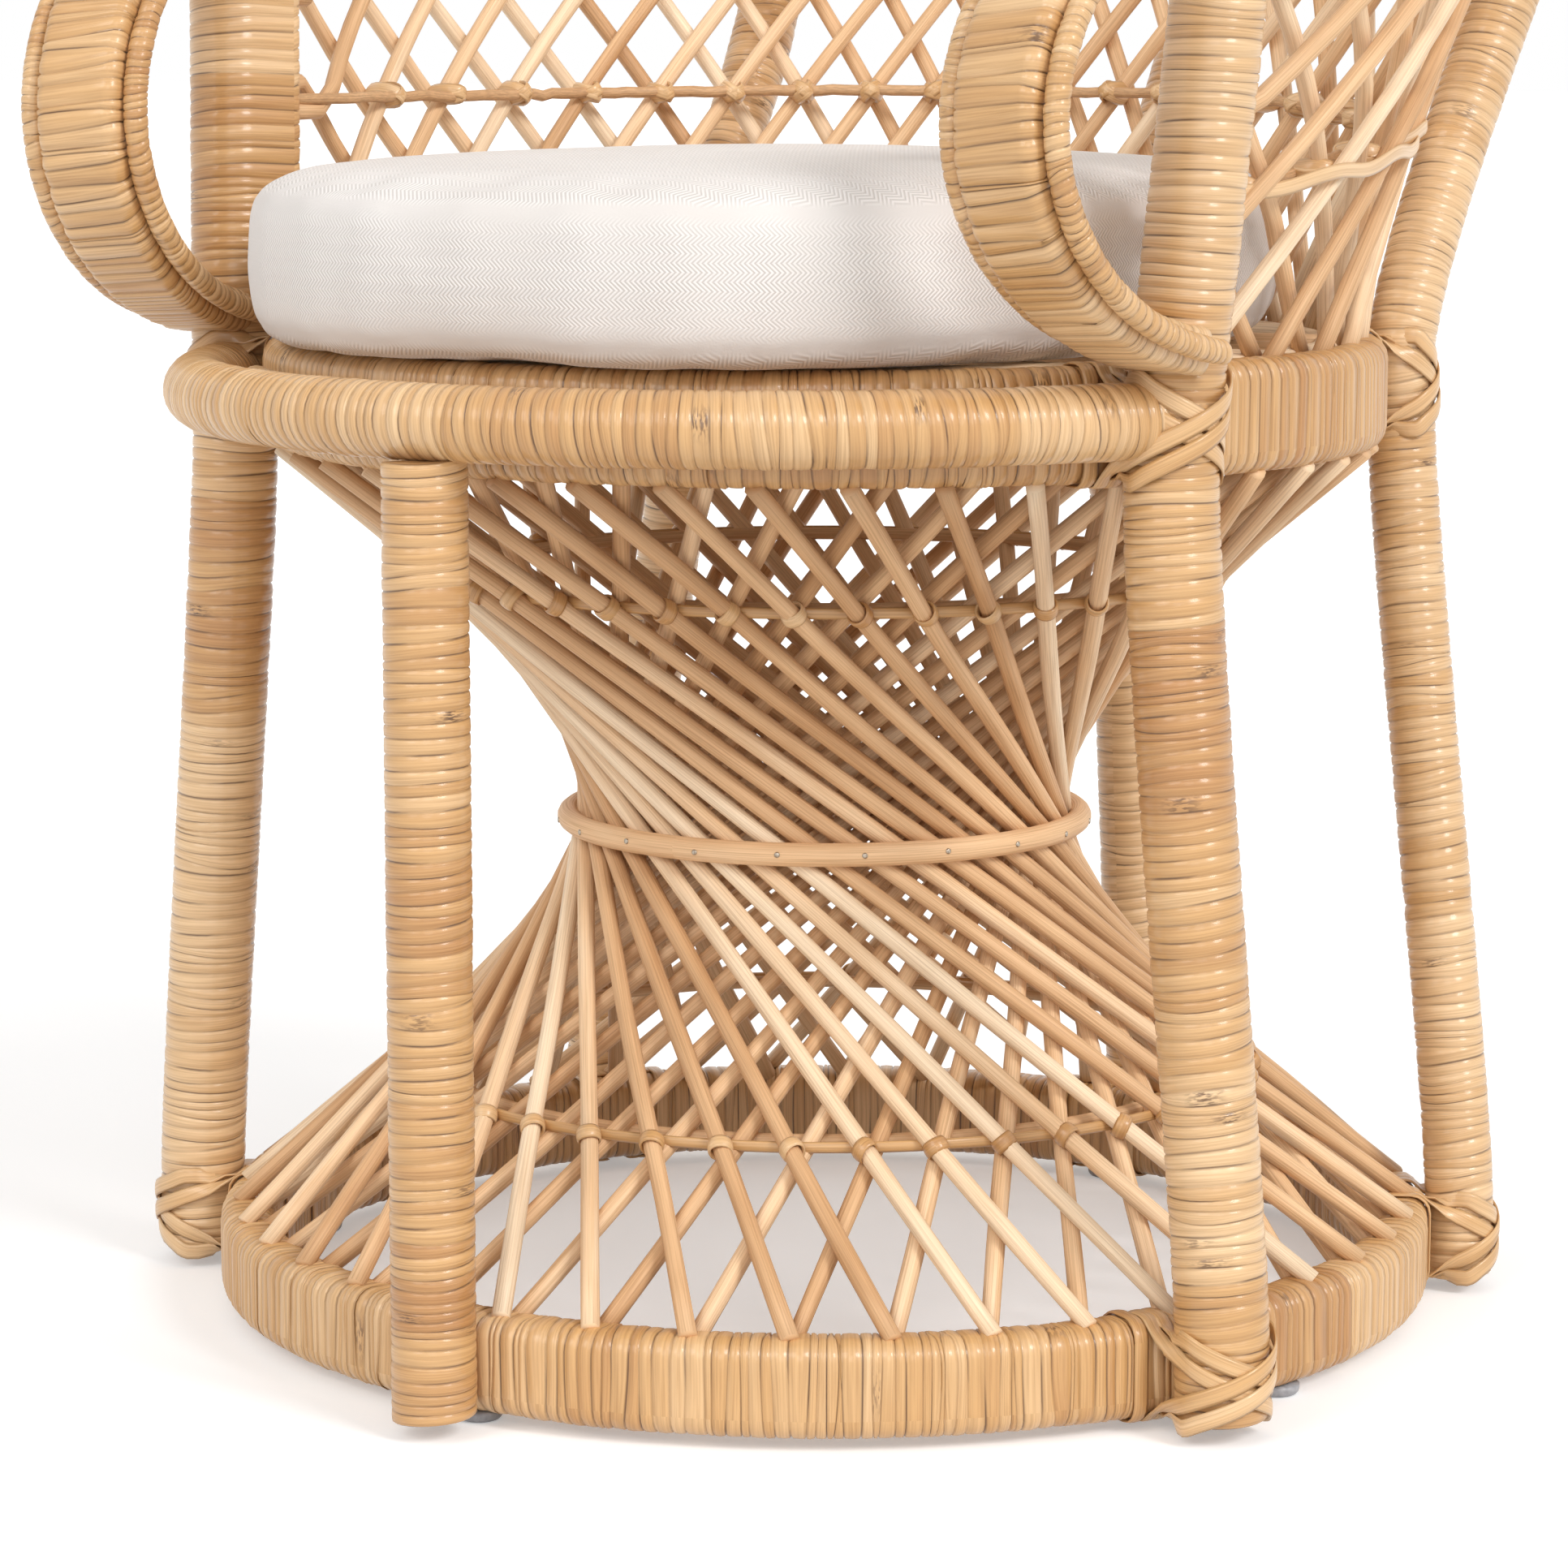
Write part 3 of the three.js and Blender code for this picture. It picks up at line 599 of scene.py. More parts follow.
def rattan(name, tones, groove, roughness, coat, streak, bump):
    """Rattan: a tint for each strip or cane, fibre streaks along it, dark grooves and brown marks."""
    made, tree, shader = material(name)
    tint, depth, stain = parts_of(tree, attribute(tree, "look"))
    grain = attribute(tree, "grain")
    fibres = noise(tree, scaled(tree, grain, (0.02, streak, 1)), 1.0, 3.0)
    patches = noise(tree, scaled(tree, grain, (0.012, 0.05, 0.37)))
    shade = calc(tree, "ADD", times(tree, tint, 0.6), times(tree, patches, 0.5))
    colour = ramp(tree, shade, tones)
    fibre_tone = ramp(tree, fibres, ((0.3, (0.68, 0.62, 0.55)), (0.6, (1, 1, 1))))
    colour = mix_colour(tree, 0.75, colour, fibre_tone, "MULTIPLY")
    flecks = noise(tree, scaled(tree, grain, (0.2, 1.1, 1)))
    speckle = ramp(tree, flecks, ((0.46, (0, 0, 0)), (0.56, (1, 1, 1))))
    colour = mix_colour(tree, times(tree, stain, speckle), colour, STAIN)
    colour = mix_colour(tree, calc(tree, "POWER", depth, 1.2), colour, groove)
    dress(tree, shader, {
        "Base Color": colour,
        "Roughness": ramp(tree, fibres, ((0.3, (roughness + 0.14,) * 3), (0.65, (roughness,) * 3))),
        "Coat Weight": coat,
        "Coat Roughness": 0.16,
        "Normal": bumped(tree, bump, 0.0006, fibres),
    })
    return made


STAIN = (0.11, 0.048, 0.018, 1)
PEEL = rattan(
    "peel",
    ((0.14, (0.48, 0.225, 0.075)), (0.5, (0.66, 0.385, 0.16)), (0.86, (0.82, 0.56, 0.31))),
    (0.09, 0.036, 0.011, 1), 0.36, 0.4, 1.3, 0.4,
)
CANE = rattan(
    "bare_cane",
    ((0.14, (0.55, 0.295, 0.13)), (0.5, (0.85, 0.56, 0.315)), (0.86, (0.95, 0.76, 0.54))),
    (0.2, 0.1, 0.04, 1), 0.5, 0.0, 1.5, 0.5,
)


def cloth_material():
    """Off-white herringbone: fine ribs that turn at each row. The weave attributes are in millimetres."""
    made, tree, shader = material("herringbone")
    round_side = attribute(tree, "weave_side")
    reach = parts_of(tree, round_side)[2]
    on_side = calc(tree, "GREATER_THAN", reach, SEAM_RATIO)
    weave = node(tree, "ShaderNodeMix", {0: on_side, 4: attribute(tree, "weave_top"), 5: round_side},
                 data_type="VECTOR").outputs[1]
    along, across, _ = parts_of(tree, weave)
    fold = calc(tree, "PINGPONG", times(tree, across, 1 / ROW_HEIGHT), 1.0)
    ribs = calc(tree, "ADD", times(tree, along, 2 * pi / RIB_PITCH),
                times(tree, fold, 2 * pi * ROW_HEIGHT / RIB_PITCH * RIB_SLOPE))
    ribbing = spread(tree, calc(tree, "SINE", ribs), -1.0, 1.0)

    # The ribs fade out at the seams, where the two directions of the weave meet.
    from_seam = calc(tree, "ABSOLUTE", calc(tree, "SUBTRACT", reach, SEAM_RATIO))
    clear = spread(tree, from_seam, 0.004, 0.018)
    ribbing = calc(tree, "SUBTRACT", ribbing, RIB_MIDDLE)
    ribbing = calc(tree, "ADD", times(tree, ribbing, clear), RIB_MIDDLE)
    place = position(tree)
    soft = noise(tree, place, 14.0, 3.0)
    colour = ramp(tree, soft, ((0.3, (0.81, 0.765, 0.73)), (0.7, (0.85, 0.81, 0.78))))
    rib_tone = ramp(tree, ribbing, ((0, (0.66, 0.64, 0.62)), (0.7, (1, 1, 1))))
    # The ribs show more strongly on the sides than on top, which darkens the sides: partly the weave, partly
    # painted shade on the sides.
    rib_contrast_and_side_shade = spread(tree, reach, 0.86, 0.97, 0.45, 0.95)
    height = calc(tree, "ADD", ribbing, times(tree, noise(tree, place, 1100.0), 0.6))
    dress(tree, shader, {
        "Base Color": mix_colour(tree, rib_contrast_and_side_shade, colour, rib_tone, "MULTIPLY"),
        "Roughness": 0.92,
        "Sheen Weight": 0.1,
        "Normal": bumped(tree, 0.5, 0.0005, height),
    })
    return made


def plain_material(name, light, dark, roughness, metallic, scale):
    """A smooth hard surface with faint mottling."""
    made, tree, shader = material(name)
    cloud = noise(tree, position(tree), scale, 3.0)
    dress(tree, shader, {
        "Base Color": ramp(tree, cloud, ((0.35, dark), (0.65, light))),
        "Roughness": roughness,
        "Metallic": metallic,
        "Normal": bumped(tree, 0.15, 0.0003, cloud),
    })
    return made


ROW_HEIGHT = 5.0
RIB_PITCH = 2.1
RIB_SLOPE = 0.8
RIB_MIDDLE = 0.4
SEAM_RATIO = 0.955
CLOTH = cloth_material()
PLASTIC = plain_material("grey_plastic", (0.4, 0.4, 0.42), (0.32, 0.32, 0.34), 0.38, 0.0, 400.0)
STEEL = plain_material("nail_steel", (0.5, 0.44, 0.36), (0.36, 0.31, 0.25), 0.35, 1.0, 900.0)


# Base and seat hoops
HOOP_CORNER = 9
HOOP_SINK = 0.6


def hoop(name, outer, wall, bottom, height):
    middle = circle(outer - wall / 2, bottom + height / 2, 240)
    outline = boxed_outline(wall / 2 - HOOP_SINK, height / 2 - HOOP_SINK, HOOP_CORNER, 4)
    hint = unit(middle * LEVEL)
    wound(name, middle, hint, outline, HOOP_WRAP, 0.5, helix=False, closed=True, uneven=1.35)


hoop("base_hoop", BASE_RADIUS, BASE_WALL, GLIDE_HEIGHT, BASE_HEIGHT)
hoop("seat_hoop", SEAT_RADIUS, SEAT_WALL, SEAT_BOTTOM, SEAT_HEIGHT)

# Glides: a radius and a height at each level of the dome
GLIDE_LEVELS = [(7.2, 0.0), (8.6, 0.5), (9.6, 1.6), (10, 3), (10, GLIDE_HEIGHT - 0.2)]
GLIDE_SIDES = 28
for side, angle in {"front": 0, "left": GLIDE_SIDE_ANGLE, "rear": 180, "right": -GLIDE_SIDE_ANGLE}.items():
    dome = Surface()
    place = at_angle(BASE_MIDDLE_RADIUS, angle, 0)
    ring = round_outline(1, GLIDE_SIDES)
    points = np.array([[(*(place[:2] + r * p), z) for p in ring] for r, z in GLIDE_LEVELS])
    ids = rings(len(GLIDE_LEVELS), GLIDE_SIDES) + dome.add_points(points.reshape(-1, 3))
    flat = np.zeros((*ids.shape, 3))
    dome.grid(ids, flat, flat)
    dome.cap(ids[0, :-1][::-1], (0, 0, 0))
    dome.cap(ids[-1, :-1], (0, 0, 0))
    dome.make(f"glide_{side}_dome", PLASTIC, [f"glide_{side}"])


# Hourglass
class Hourglass:
    """One layer of straight canes between the hoops, which pass the axis at a waist radius."""

    def __init__(self, layer, waist, turn):
        foot = BASE_MIDDLE_RADIUS + layer - HOURGLASS_INSET
        head = SEAT_MIDDLE_RADIUS + layer - HOURGLASS_INSET
        self.waist, self.turn = waist, turn
        self.low, self.high = BASE_TOP + CLEARANCE, SEAT_BOTTOM - CLEARANCE
        self.foot_reach = sqrt(foot**2 - waist**2)
        self.head_reach = sqrt(head**2 - waist**2)

    def reach(self, height):
        return lerp(self.foot_reach, -self.head_reach, (height - self.low) / (self.high - self.low))

    def radius(self, height):
        return hypot(self.waist, self.reach(height))

    def point(self, number, height):
        turn = self.turn * degrees(atan2(self.reach(height), self.waist))
        return at_angle(self.radius(height), 360 * number / HOURGLASS_CANES + turn, height)

    def build(self, surface, palest, sink):
        for i in range(HOURGLASS_CANES):
            ends = [self.point(i, BASE_TOP - sink), self.point(i, SEAT_BOTTOM + sink)]
            cane(surface, ends, look=(palest * rng.random(), 0, 0))


KNOT_SIDES = 16
KNOT_WIDTH = 6.5
KNOT_THICK = 1.5
KNOT_TILT = 1.2
NAIL_RADIUS = 1.3


def knot(surface, centre, axis, wide, deep, facing, look=None):
    """A band of peel tied round one or two canes, an ellipse about the axis."""
    axis = unit(np.asarray(axis, float))
    out = unit(facing - (facing @ axis) * axis)
    side = np.cross(axis, out)
    angle = 2 * pi * np.arange(KNOT_SIDES)[:, None] / KNOT_SIDES
    deep, wide = deep + KNOT_THICK / 2, wide + KNOT_THICK / 2
    path = centre + deep * np.cos(angle) * out + wide * np.sin(angle) * side
    path = path + axis * (KNOT_TILT * np.sin(angle + rng.random() * 6))
    strip(surface, path, path - centre, ribbon_outline(KNOT_WIDTH, KNOT_THICK), look, closed=True)


waist_hoop = WAIST_RADIUS - WAIST_HOOP_RADIUS
outer_glass = Hourglass(HOURGLASS_LAYER_STEP / 2, waist_hoop - WAIST_HOOP_RADIUS - CANE_RADIUS + BITE, 1)
inner_glass = Hourglass(-HOURGLASS_LAYER_STEP / 2, WAIST_INNER_RADIUS, -1)

outer_surface = Surface()
outer_glass.build(outer_surface, 1.0, 1)
level_ring(outer_surface, waist_hoop, WAIST_HEIGHT, WAIST_HOOP_RADIUS, 96, 14, (0.4, 0, 0))
outer_surface.make("hourglass_outer_lattice", CANE, ["hourglass_outer_canes"])

inner_surface = Surface()
# The inner canes get darker tints than the outer ones (palest 0.7 against 1.0): painted shade for the inside
# of the hourglass.
inner_glass.build(inner_surface, 0.7, 6)
ties = Surface()
for height in TIE_HEIGHTS:
    tie_radius = inner_glass.radius(height) - CANE_RADIUS - TIE_RADIUS + BITE
    level_ring(inner_surface, tie_radius, height, TIE_RADIUS, 80, 8, (0.3, 0.1, 0))
    for i in range(HOURGLASS_CANES):
        here = outer_glass.point(i, height)
        lean = outer_glass.point(i, height + 9) - here
        knot(ties, here, lean, CANE_RADIUS, CANE_RADIUS, here * LEVEL)
    strand = circle(outer_glass.radius(height) - CANE_RADIUS - 1.5, height, 80)
    strip(ties, strand, unit(strand * LEVEL), ribbon_outline(5, 2), (0.4, 0.1, 0), closed=True)
inner_surface.make("hourglass_inner_lattice", CANE, ["hourglass_inner_canes"])
ties.make("hourglass_ties", PEEL)

nails = Surface()
for i in range(HOURGLASS_CANES // 2):
    out = unit(outer_glass.point(2 * i, WAIST_HEIGHT) * LEVEL)
    head = out * (WAIST_RADIUS - 0.5) + (0, 0, WAIST_HEIGHT + rng.uniform(-0.8, 0.8))
    steps = np.array([head, head + 0.6 * out, head + 0.9 * out])
    strip(nails, steps, UP, round_outline(NAIL_RADIUS, 10), (0, 0, 0), radii=np.array([1, 1, 0.55]))
nails.make("waist_nails", STEEL)


# Posts
def arm_post_at(height):
    rise = height - SEAT_MIDDLE
    base = at_angle(SEAT_RADIUS + ARM_POST_RADIUS + CLEARANCE, ARM_POST_SEAT_ANGLE, height)
    return base + stacked(ARM_POST_LEAN_OUT * rise, ARM_POST_LEAN_BACK * rise, 0)


def post_ends(radius, foot_angle, seat_angle):
    """Points of a post beside the base hoop and the seat hoop."""
    foot, seat = (hoop_radius + radius + CLEARANCE for hoop_radius in (BASE_RADIUS, SEAT_RADIUS))
    beside_base = [at_angle(foot, foot_angle, height) for height in (POST_FOOT, BASE_TOP)]
    return beside_base + [at_angle(seat, seat_angle, height) for height in (SEAT_BOTTOM, SEAT_TOP)]


def arm_post_path(top):
    ends = post_ends(ARM_POST_RADIUS, ARM_POST_FOOT_ANGLE, ARM_POST_SEAT_ANGLE)
    return smooth([*ends[:3], arm_post_at(SEAT_TOP), arm_post_at(top)])


def wound_tube(name, path, hint, radius, width, sides=26, relief=0.38, zones=EVEN):
    wound(name, path, hint, round_outline(radius - 0.4, sides), width, relief, zones)


# Above the seat each arm post and its edge cane are wrapped together.
edge_apart = ARM_POST_RADIUS + EDGE_CANE_RADIUS + 2 * CLEARANCE
bearing = at_angle(1, EDGE_CANE_BEARING, 0)
lower_post = arm_post_path(SEAT_TOP + 14)
upper_post = arm_post_at(np.linspace(SEAT_TOP + 1, ARM_POST_TOP - 2, 30))
pair_outline = paired_outline(ARM_POST_RADIUS - 0.4, EDGE_CANE_RADIUS - 0.4, edge_apart, 34)
# Tint zones along the arm posts: partly runs of paler and darker peel, partly painted light. The low part of
# the right post is much paler and the upper part of the left post is darker, where the two posts stand in
# more and less light.
POST_ZONES = {
    "left": ((0, 0.1), (0.52, 0.05), (0.57, -0.3), (1, -0.15)),
    "right": ((0, 0.65), (0.56, 0.7), (0.6, -0.1), (1, 0)),
}
for side, place in {"left": np.asarray, "right": mirrored}.items():
    path = place(lower_post)
    wound_tube(f"arm_post_{side}", path, inward(path), ARM_POST_RADIUS, POST_WRAP, zones=POST_ZONES[side])
    wound(f"back_edge_{side}", place(upper_post), place(bearing), pair_outline, POST_WRAP, 0.38, LIGHT,
          node_name=f"back_edge_cane_{side}")


# Front rim and leg
def rim_arc(bend, height, end):
    return at_angle(bend, np.linspace(-end, end, 40), height) - (0, RIM_FORWARD, 0)


rim_height = RIM_TOP - RIM_OUTER_RADIUS
rim_end = arm_post_at(rim_height)
outer_rim = smooth([mirrored(rim_end), *rim_arc(RIM_BEND, rim_height, RIM_OUTER_END), rim_end], 4)
inner_rim_height = RIM_TOP - RIM_INNER_DROP - RIM_INNER_RADIUS
rim_touch = RIM_OUTER_RADIUS + RIM_INNER_RADIUS + CLEARANCE
inner_bend = RIM_BEND - sqrt(rim_touch**2 - (inner_rim_height - rim_height) ** 2)
hoop_touch = SEAT_RADIUS + RIM_INNER_RADIUS + CLEARANCE
inner_end = acos((hoop_touch**2 - inner_bend**2 - RIM_FORWARD**2) / (2 * inner_bend * RIM_FORWARD))
inner_rim = rim_arc(inner_bend, inner_rim_height, degrees(inner_end))
wound_tube("front_rim_outer", outer_rim, -UP, RIM_OUTER_RADIUS, RIM_WRAP)
wound_tube("front_rim_inner", inner_rim, -UP, RIM_INNER_RADIUS, RIM_WRAP, 18, 0.4)
leg_top = RIM_TOP - 2 * RIM_OUTER_RADIUS + LEG_SADDLE
LEG_ZONES = ((0, 0), (0.09, 0), (0.11, -0.5), (0.15, -0.4), (0.18, 0), (0.55, 0), (1, 0.05))
leg = np.linspace(
    at_angle(BASE_RADIUS + FRONT_LEG_RADIUS + CLEARANCE, 0, POST_FOOT),
    at_angle(RIM_BEND + RIM_FORWARD, 0, leg_top), 20)
wound_tube("front_leg", leg, inward(leg), FRONT_LEG_RADIUS, POST_WRAP, zones=LEG_ZONES)

# Seat deck
deck = Surface()
deck_radius = SEAT_RADIUS - SEAT_WALL - CLEARANCE - DECK_CANE_RADIUS
deck_height = SEAT_TOP - DECK_CANE_RADIUS
level_ring(deck, deck_radius, deck_height, DECK_CANE_RADIUS, 72, 10)
for i in range(DECK_SLATS):
    y = lerp(-deck_radius, deck_radius, (i + 1) / (DECK_SLATS + 1))
    half = sqrt(deck_radius**2 - y**2)
    cane(deck, [(-half, y, deck_height), (half, y, deck_height)], DECK_CANE_RADIUS)
deck.make("seat_deck_canes", CANE, ["seat_deck"])

# Arms
arm_middle = RIM_TOP + ARM_RIM_GAP + ARM_BAND_THICKNESS / 2 + ARM_HALF_HEIGHT
arm_drop = ARM_POST_LEAN_BACK * ARM_HALF_HEIGHT
arm_bite = ARM_POST_RADIUS / 2
arm_start = -acos((arm_bite + arm_drop) / ARM_REACH)
arm_end = acos((arm_bite - arm_drop) / ARM_REACH)
arm_root = arm_post_at(arm_middle)


def arm_path(side, across):
    angles = np.linspace(arm_start, arm_end, 60)
    forward = -ARM_REACH * np.cos(angles)
    toe = -side * radians(ARM_TOE_IN)
    x = across * cos(toe) - forward * sin(toe) + side * arm_root[0]
    y = across * sin(toe) + forward * cos(toe) + arm_root[1]
    return stacked(x, y, arm_middle + ARM_HALF_HEIGHT * np.sin(angles))


for name, side in {"left": 1, "right": -1}.items():
    middle = arm_path(side, 0)
    lateral = arm_path(side, 1)[0] - middle[0]
    outline = boxed_outline(ARM_BAND_WIDTH / 2 - 0.5, ARM_BAND_THICKNESS / 2 - 0.5, 6, 3)
    wound(f"arm_band_{name}", middle, lateral, outline, ARM_WRAP, 0.55, LIGHT,
          helix=False, slant=2.2, uneven=1.3)
    shift = ARM_BAND_WIDTH / 2 + ARM_CORD_RADIUS + CLEARANCE
    for edge, across in {"inner": -side * shift, "outer": side * shift}.items():
        cord, facing = arm_path(side, across), np.sign(-across) * lateral
        wound_tube(f"arm_cord_{name}_{edge}", cord, facing, ARM_CORD_RADIUS + 0.4, CORD_WRAP, 14, 0.35)


# Back and fan
def back_point(across, height, offset):
    share = np.maximum(0, (height - SEAT_TOP) / (BELT_HEIGHT - SEAT_TOP)) ** BACK_CURVE
    radius = lerp(SEAT_MIDDLE_RADIUS - BACK_INSET, BELT_RADIUS, share) + offset
    place = across * (1 - BACK_EDGE_SPREAD * (1 - across**2))
    return at_angle(radius, 180 - BACK_HALF_ANGLE * place, height) + stacked(0, BELT_SHIFT * share, 0)


rim_start = arm_post_at(ARM_POST_TOP - FAN_RIM_RADIUS)
rim_start_angle = pi - asin(rim_start[0] / FAN_HALF_WIDTH)
rim_drop = (rim_start[2] - FAN_WIDEST) / cos(rim_start_angle)


def fan_rim_point(across):
    angle = rim_start_angle * across
    fall = np.cos(angle)
    z = FAN_WIDEST + fall * np.where(fall > 0, FAN_TOP - FAN_WIDEST, rim_drop)
    rise = np.maximum(0, (z - rim_start[2]) / (FAN_TOP - rim_start[2]))
    y = lerp(rim_start[1], FAN_TOP_DEPTH, rise**FAN_RAKE)
    return stacked(FAN_HALF_WIDTH * np.sin(angle), y, z)


def fan_surface(across, share):
    return lerp(back_point(across, BELT_HEIGHT, 0), fan_rim_point(across), share)


def fan_point(across, share, offset):
    step = 0.01
    side = fan_surface(across + step, share) - fan_surface(across - step, share)
    up = fan_surface(across, share + step) - fan_surface(across, share - step)
    return fan_surface(across, share) + offset * unit(np.cross(up, side))


fan_rim = fan_rim_point(np.linspace(-1, 1, 220))
wound_tube("fan_rim", fan_rim, (0, 1, 0.2), FAN_RIM_RADIUS, POST_WRAP, 20)

sweep_share = BACK_LEAN_SWEEP / BACK_HALF_ANGLE
pitch = 2 / BACK_CANES
half_layer = BACK_LAYER_STEP / 2
layer_face = half_layer + CANE_RADIUS
hoop_offset = layer_face + BELT_HOOP_RADIUS - BITE
arch_offset = layer_face + BELT_HOOP_RADIUS + BITE


def edge_cane_at(point):
    """The middle of the wrapped edge cane that is level with a point, on the same side."""
    place = arm_post_at(point[2]) + edge_apart * bearing
    return place * (np.sign(point[0]), 1, 1)


def back_cane_path(foot, turn, offset):
    """A leaning cane from the seat hoop or one edge to the belt and the rim, or to the other edge."""
    low = max(-0.02, (-BACK_EDGE_REACH - turn * foot) / sweep_share)
    high = min(1, (BACK_EDGE_REACH - turn * foot) / sweep_share)
    rise = np.linspace(low, high, 9)
    points = [*back_point(foot + turn * sweep_share * rise, lerp(SEAT_TOP, BELT_HEIGHT, rise), offset)]
    if low > 0:
        points.insert(0, edge_cane_at(points[0]))
    if high < 1:
        points.append(edge_cane_at(points[-1]))
    belt = foot + turn * sweep_share
    if abs(belt) < FAN_EDGE_LIMIT:
        shares = np.linspace(0, 1, 12)[1:]
        points += [fan_point(belt + turn * FAN_SWEEP * share, share, offset) for share in shares]
    return np.array(points)


def back_layer(name, node_name, turn, offset, belt_offset):
    surface = Surface()
    first = ceil((-BACK_EDGE_LIMIT - sweep_share) / pitch)
    last = floor(BACK_EDGE_LIMIT / pitch)
    for i in range(first, last + 1):
        cane(surface, back_cane_path(turn * i * pitch, turn, offset), wander=0.35)
    places = np.linspace(-BACK_EDGE_LIMIT, BACK_EDGE_LIMIT, 80)
    belt = back_point(places, BELT_HEIGHT, belt_offset)
    cane(surface, belt, BELT_HOOP_RADIUS, step=12, wander=0)
    surface.make(name, CANE, [node_name])


back_layer("back_inner_lattice", "back_inner_canes", 1, -half_layer, -hoop_offset)
back_layer("back_outer_lattice", "back_outer_canes", -1, half_layer, hoop_offset)


# The back's tie: a rough strand that sags to one side, tied with peel where the canes cross
KNOT_OFFSET = -8
KNOT_LEANS = (0.6, -0.55)
RIBBONS = ((0.6, BACK_EDGE_LIMIT, 0), (0.5, 0.74, 4))


def tie_height(across):
    return BACK_TIE_HEIGHT - BACK_TIE_FALL * np.maximum(across, 0) ** 2


tie = Surface()
places = np.linspace(-BACK_EDGE_LIMIT, BACK_EDGE_LIMIT, 160)
tie_offset = -(layer_face + TIE_RADIUS + BACK_TIE_SLACK)
strand = back_point(places, tie_height(places) + rng.normal(0, 0.3, len(places)), tie_offset)
strand = np.vstack([edge_cane_at(strand[0]), strand, edge_cane_at(strand[-1])])
cane(tie, strand, TIE_RADIUS - 0.3, sides=8, step=6, wander=0.5, look=(0.1, 0.1, 0.2))
tie.make("back_tie", CANE, ["back_tie_cane"])
back_knots = Surface()
for i in range(-2 * BACK_CANES, 2 * BACK_CANES):
    across = 0
    for _ in range(4):
        rise = (tie_height(across) - SEAT_TOP) / (BELT_HEIGHT - SEAT_TOP)
        across = np.clip(i * pitch - sweep_share * rise, -1, 1)
    if abs(across) > BACK_EDGE_LIMIT:
        continue
    here = back_point(across, tie_height(across), KNOT_OFFSET)
    out = unit((here - (0, BELT_SHIFT * rise, 0)) * LEVEL)
    side = np.cross(UP, out)
    for lean in KNOT_LEANS:
        pale = (rng.uniform(0.5, 1), 0, 0)
        knot(back_knots, here, UP + lean * side, CANE_RADIUS + 1.2, layer_face, out, pale)
for start, end, raised in RIBBONS:
    outside = np.linspace(start, end, 40)
    tucked = 7 * np.clip(1 - 12 * np.minimum(outside - start, end - outside), 0, 1)
    height = tie_height(outside) + raised + 1.5 * np.sin(60 * outside)
    loose = back_point(outside, height, layer_face + 1.2 - tucked)
    strip(back_knots, loose, unit(loose * LEVEL), ribbon_outline(6.5, 1.4), (0.9, 0, 0))
back_knots.make("back_tie_knots", PEEL)

arch = Surface()
places = np.linspace(-ARCH_LIMIT, ARCH_LIMIT, 90)
cane(arch, fan_point(places, ARCH_SHARE, arch_offset), BELT_HOOP_RADIUS, step=14, wander=0)
arch.make("fan_arch", CANE, ["fan_arch_cane"])


def scallop_point(share):
    height = SCALLOP_SHARE + SCALLOP_SWING * cos(2 * pi * SCALLOPS * share)
    across = lerp(-SCALLOP_LIMIT, SCALLOP_LIMIT, share)
    return fan_point(across, height, -(layer_face + SCALLOP_RADIUS + CLEARANCE))


scallop = Surface()
scallop_path = np.array([scallop_point(s) for s in np.linspace(0, 1, 24 * SCALLOPS + 1)])
strip(scallop, scallop_path, (0, 1, 0.3), round_outline(SCALLOP_RADIUS, 10))
scallop.make("fan_scallop", CANE, ["fan_scallop_cane"])


# Back posts
def back_post_path(foot_angle, seat_angle, across):
    behind = arch_offset + BELT_HOOP_RADIUS + BACK_POST_RADIUS + CLEARANCE
    return smooth([
        *post_ends(BACK_POST_RADIUS, foot_angle, seat_angle),
        back_point(across, BELT_HEIGHT, behind + BACK_POST_BOW),
        fan_point(across, ARCH_SHARE / 2, behind),
        fan_point(across, ARCH_SHARE, behind),
    ])


side_post = back_post_path(BACK_POST_FOOT_ANGLE, BACK_POST_SEAT_ANGLE, BACK_POST_ACROSS)
back_posts = {
    "back_post_left": side_post,
    "back_post_right": mirrored(side_post),
    "rear_post": back_post_path(180, 180, 0),
}
for name, path in back_posts.items():
    # These zones make the back posts paler all along: partly paler peel, partly painted light standing in
    # for the light that falls on them.
    pale = ((0, 0.3), (0.3, 0.4), (0.5, 0.2), (1, 0.1))
    wound_tube(name, path, inward(path), BACK_POST_RADIUS, POST_WRAP, 22, zones=pale)


# Lashings
LASH_LIFTS = (-5, 5)
LASH_TURN = 84
LASH_TUCK = 4
LASH_INSET = 8
LASH_PROUD = 0.9
LOOP_BESIDE = 6
LOOP_WIDTH = 7


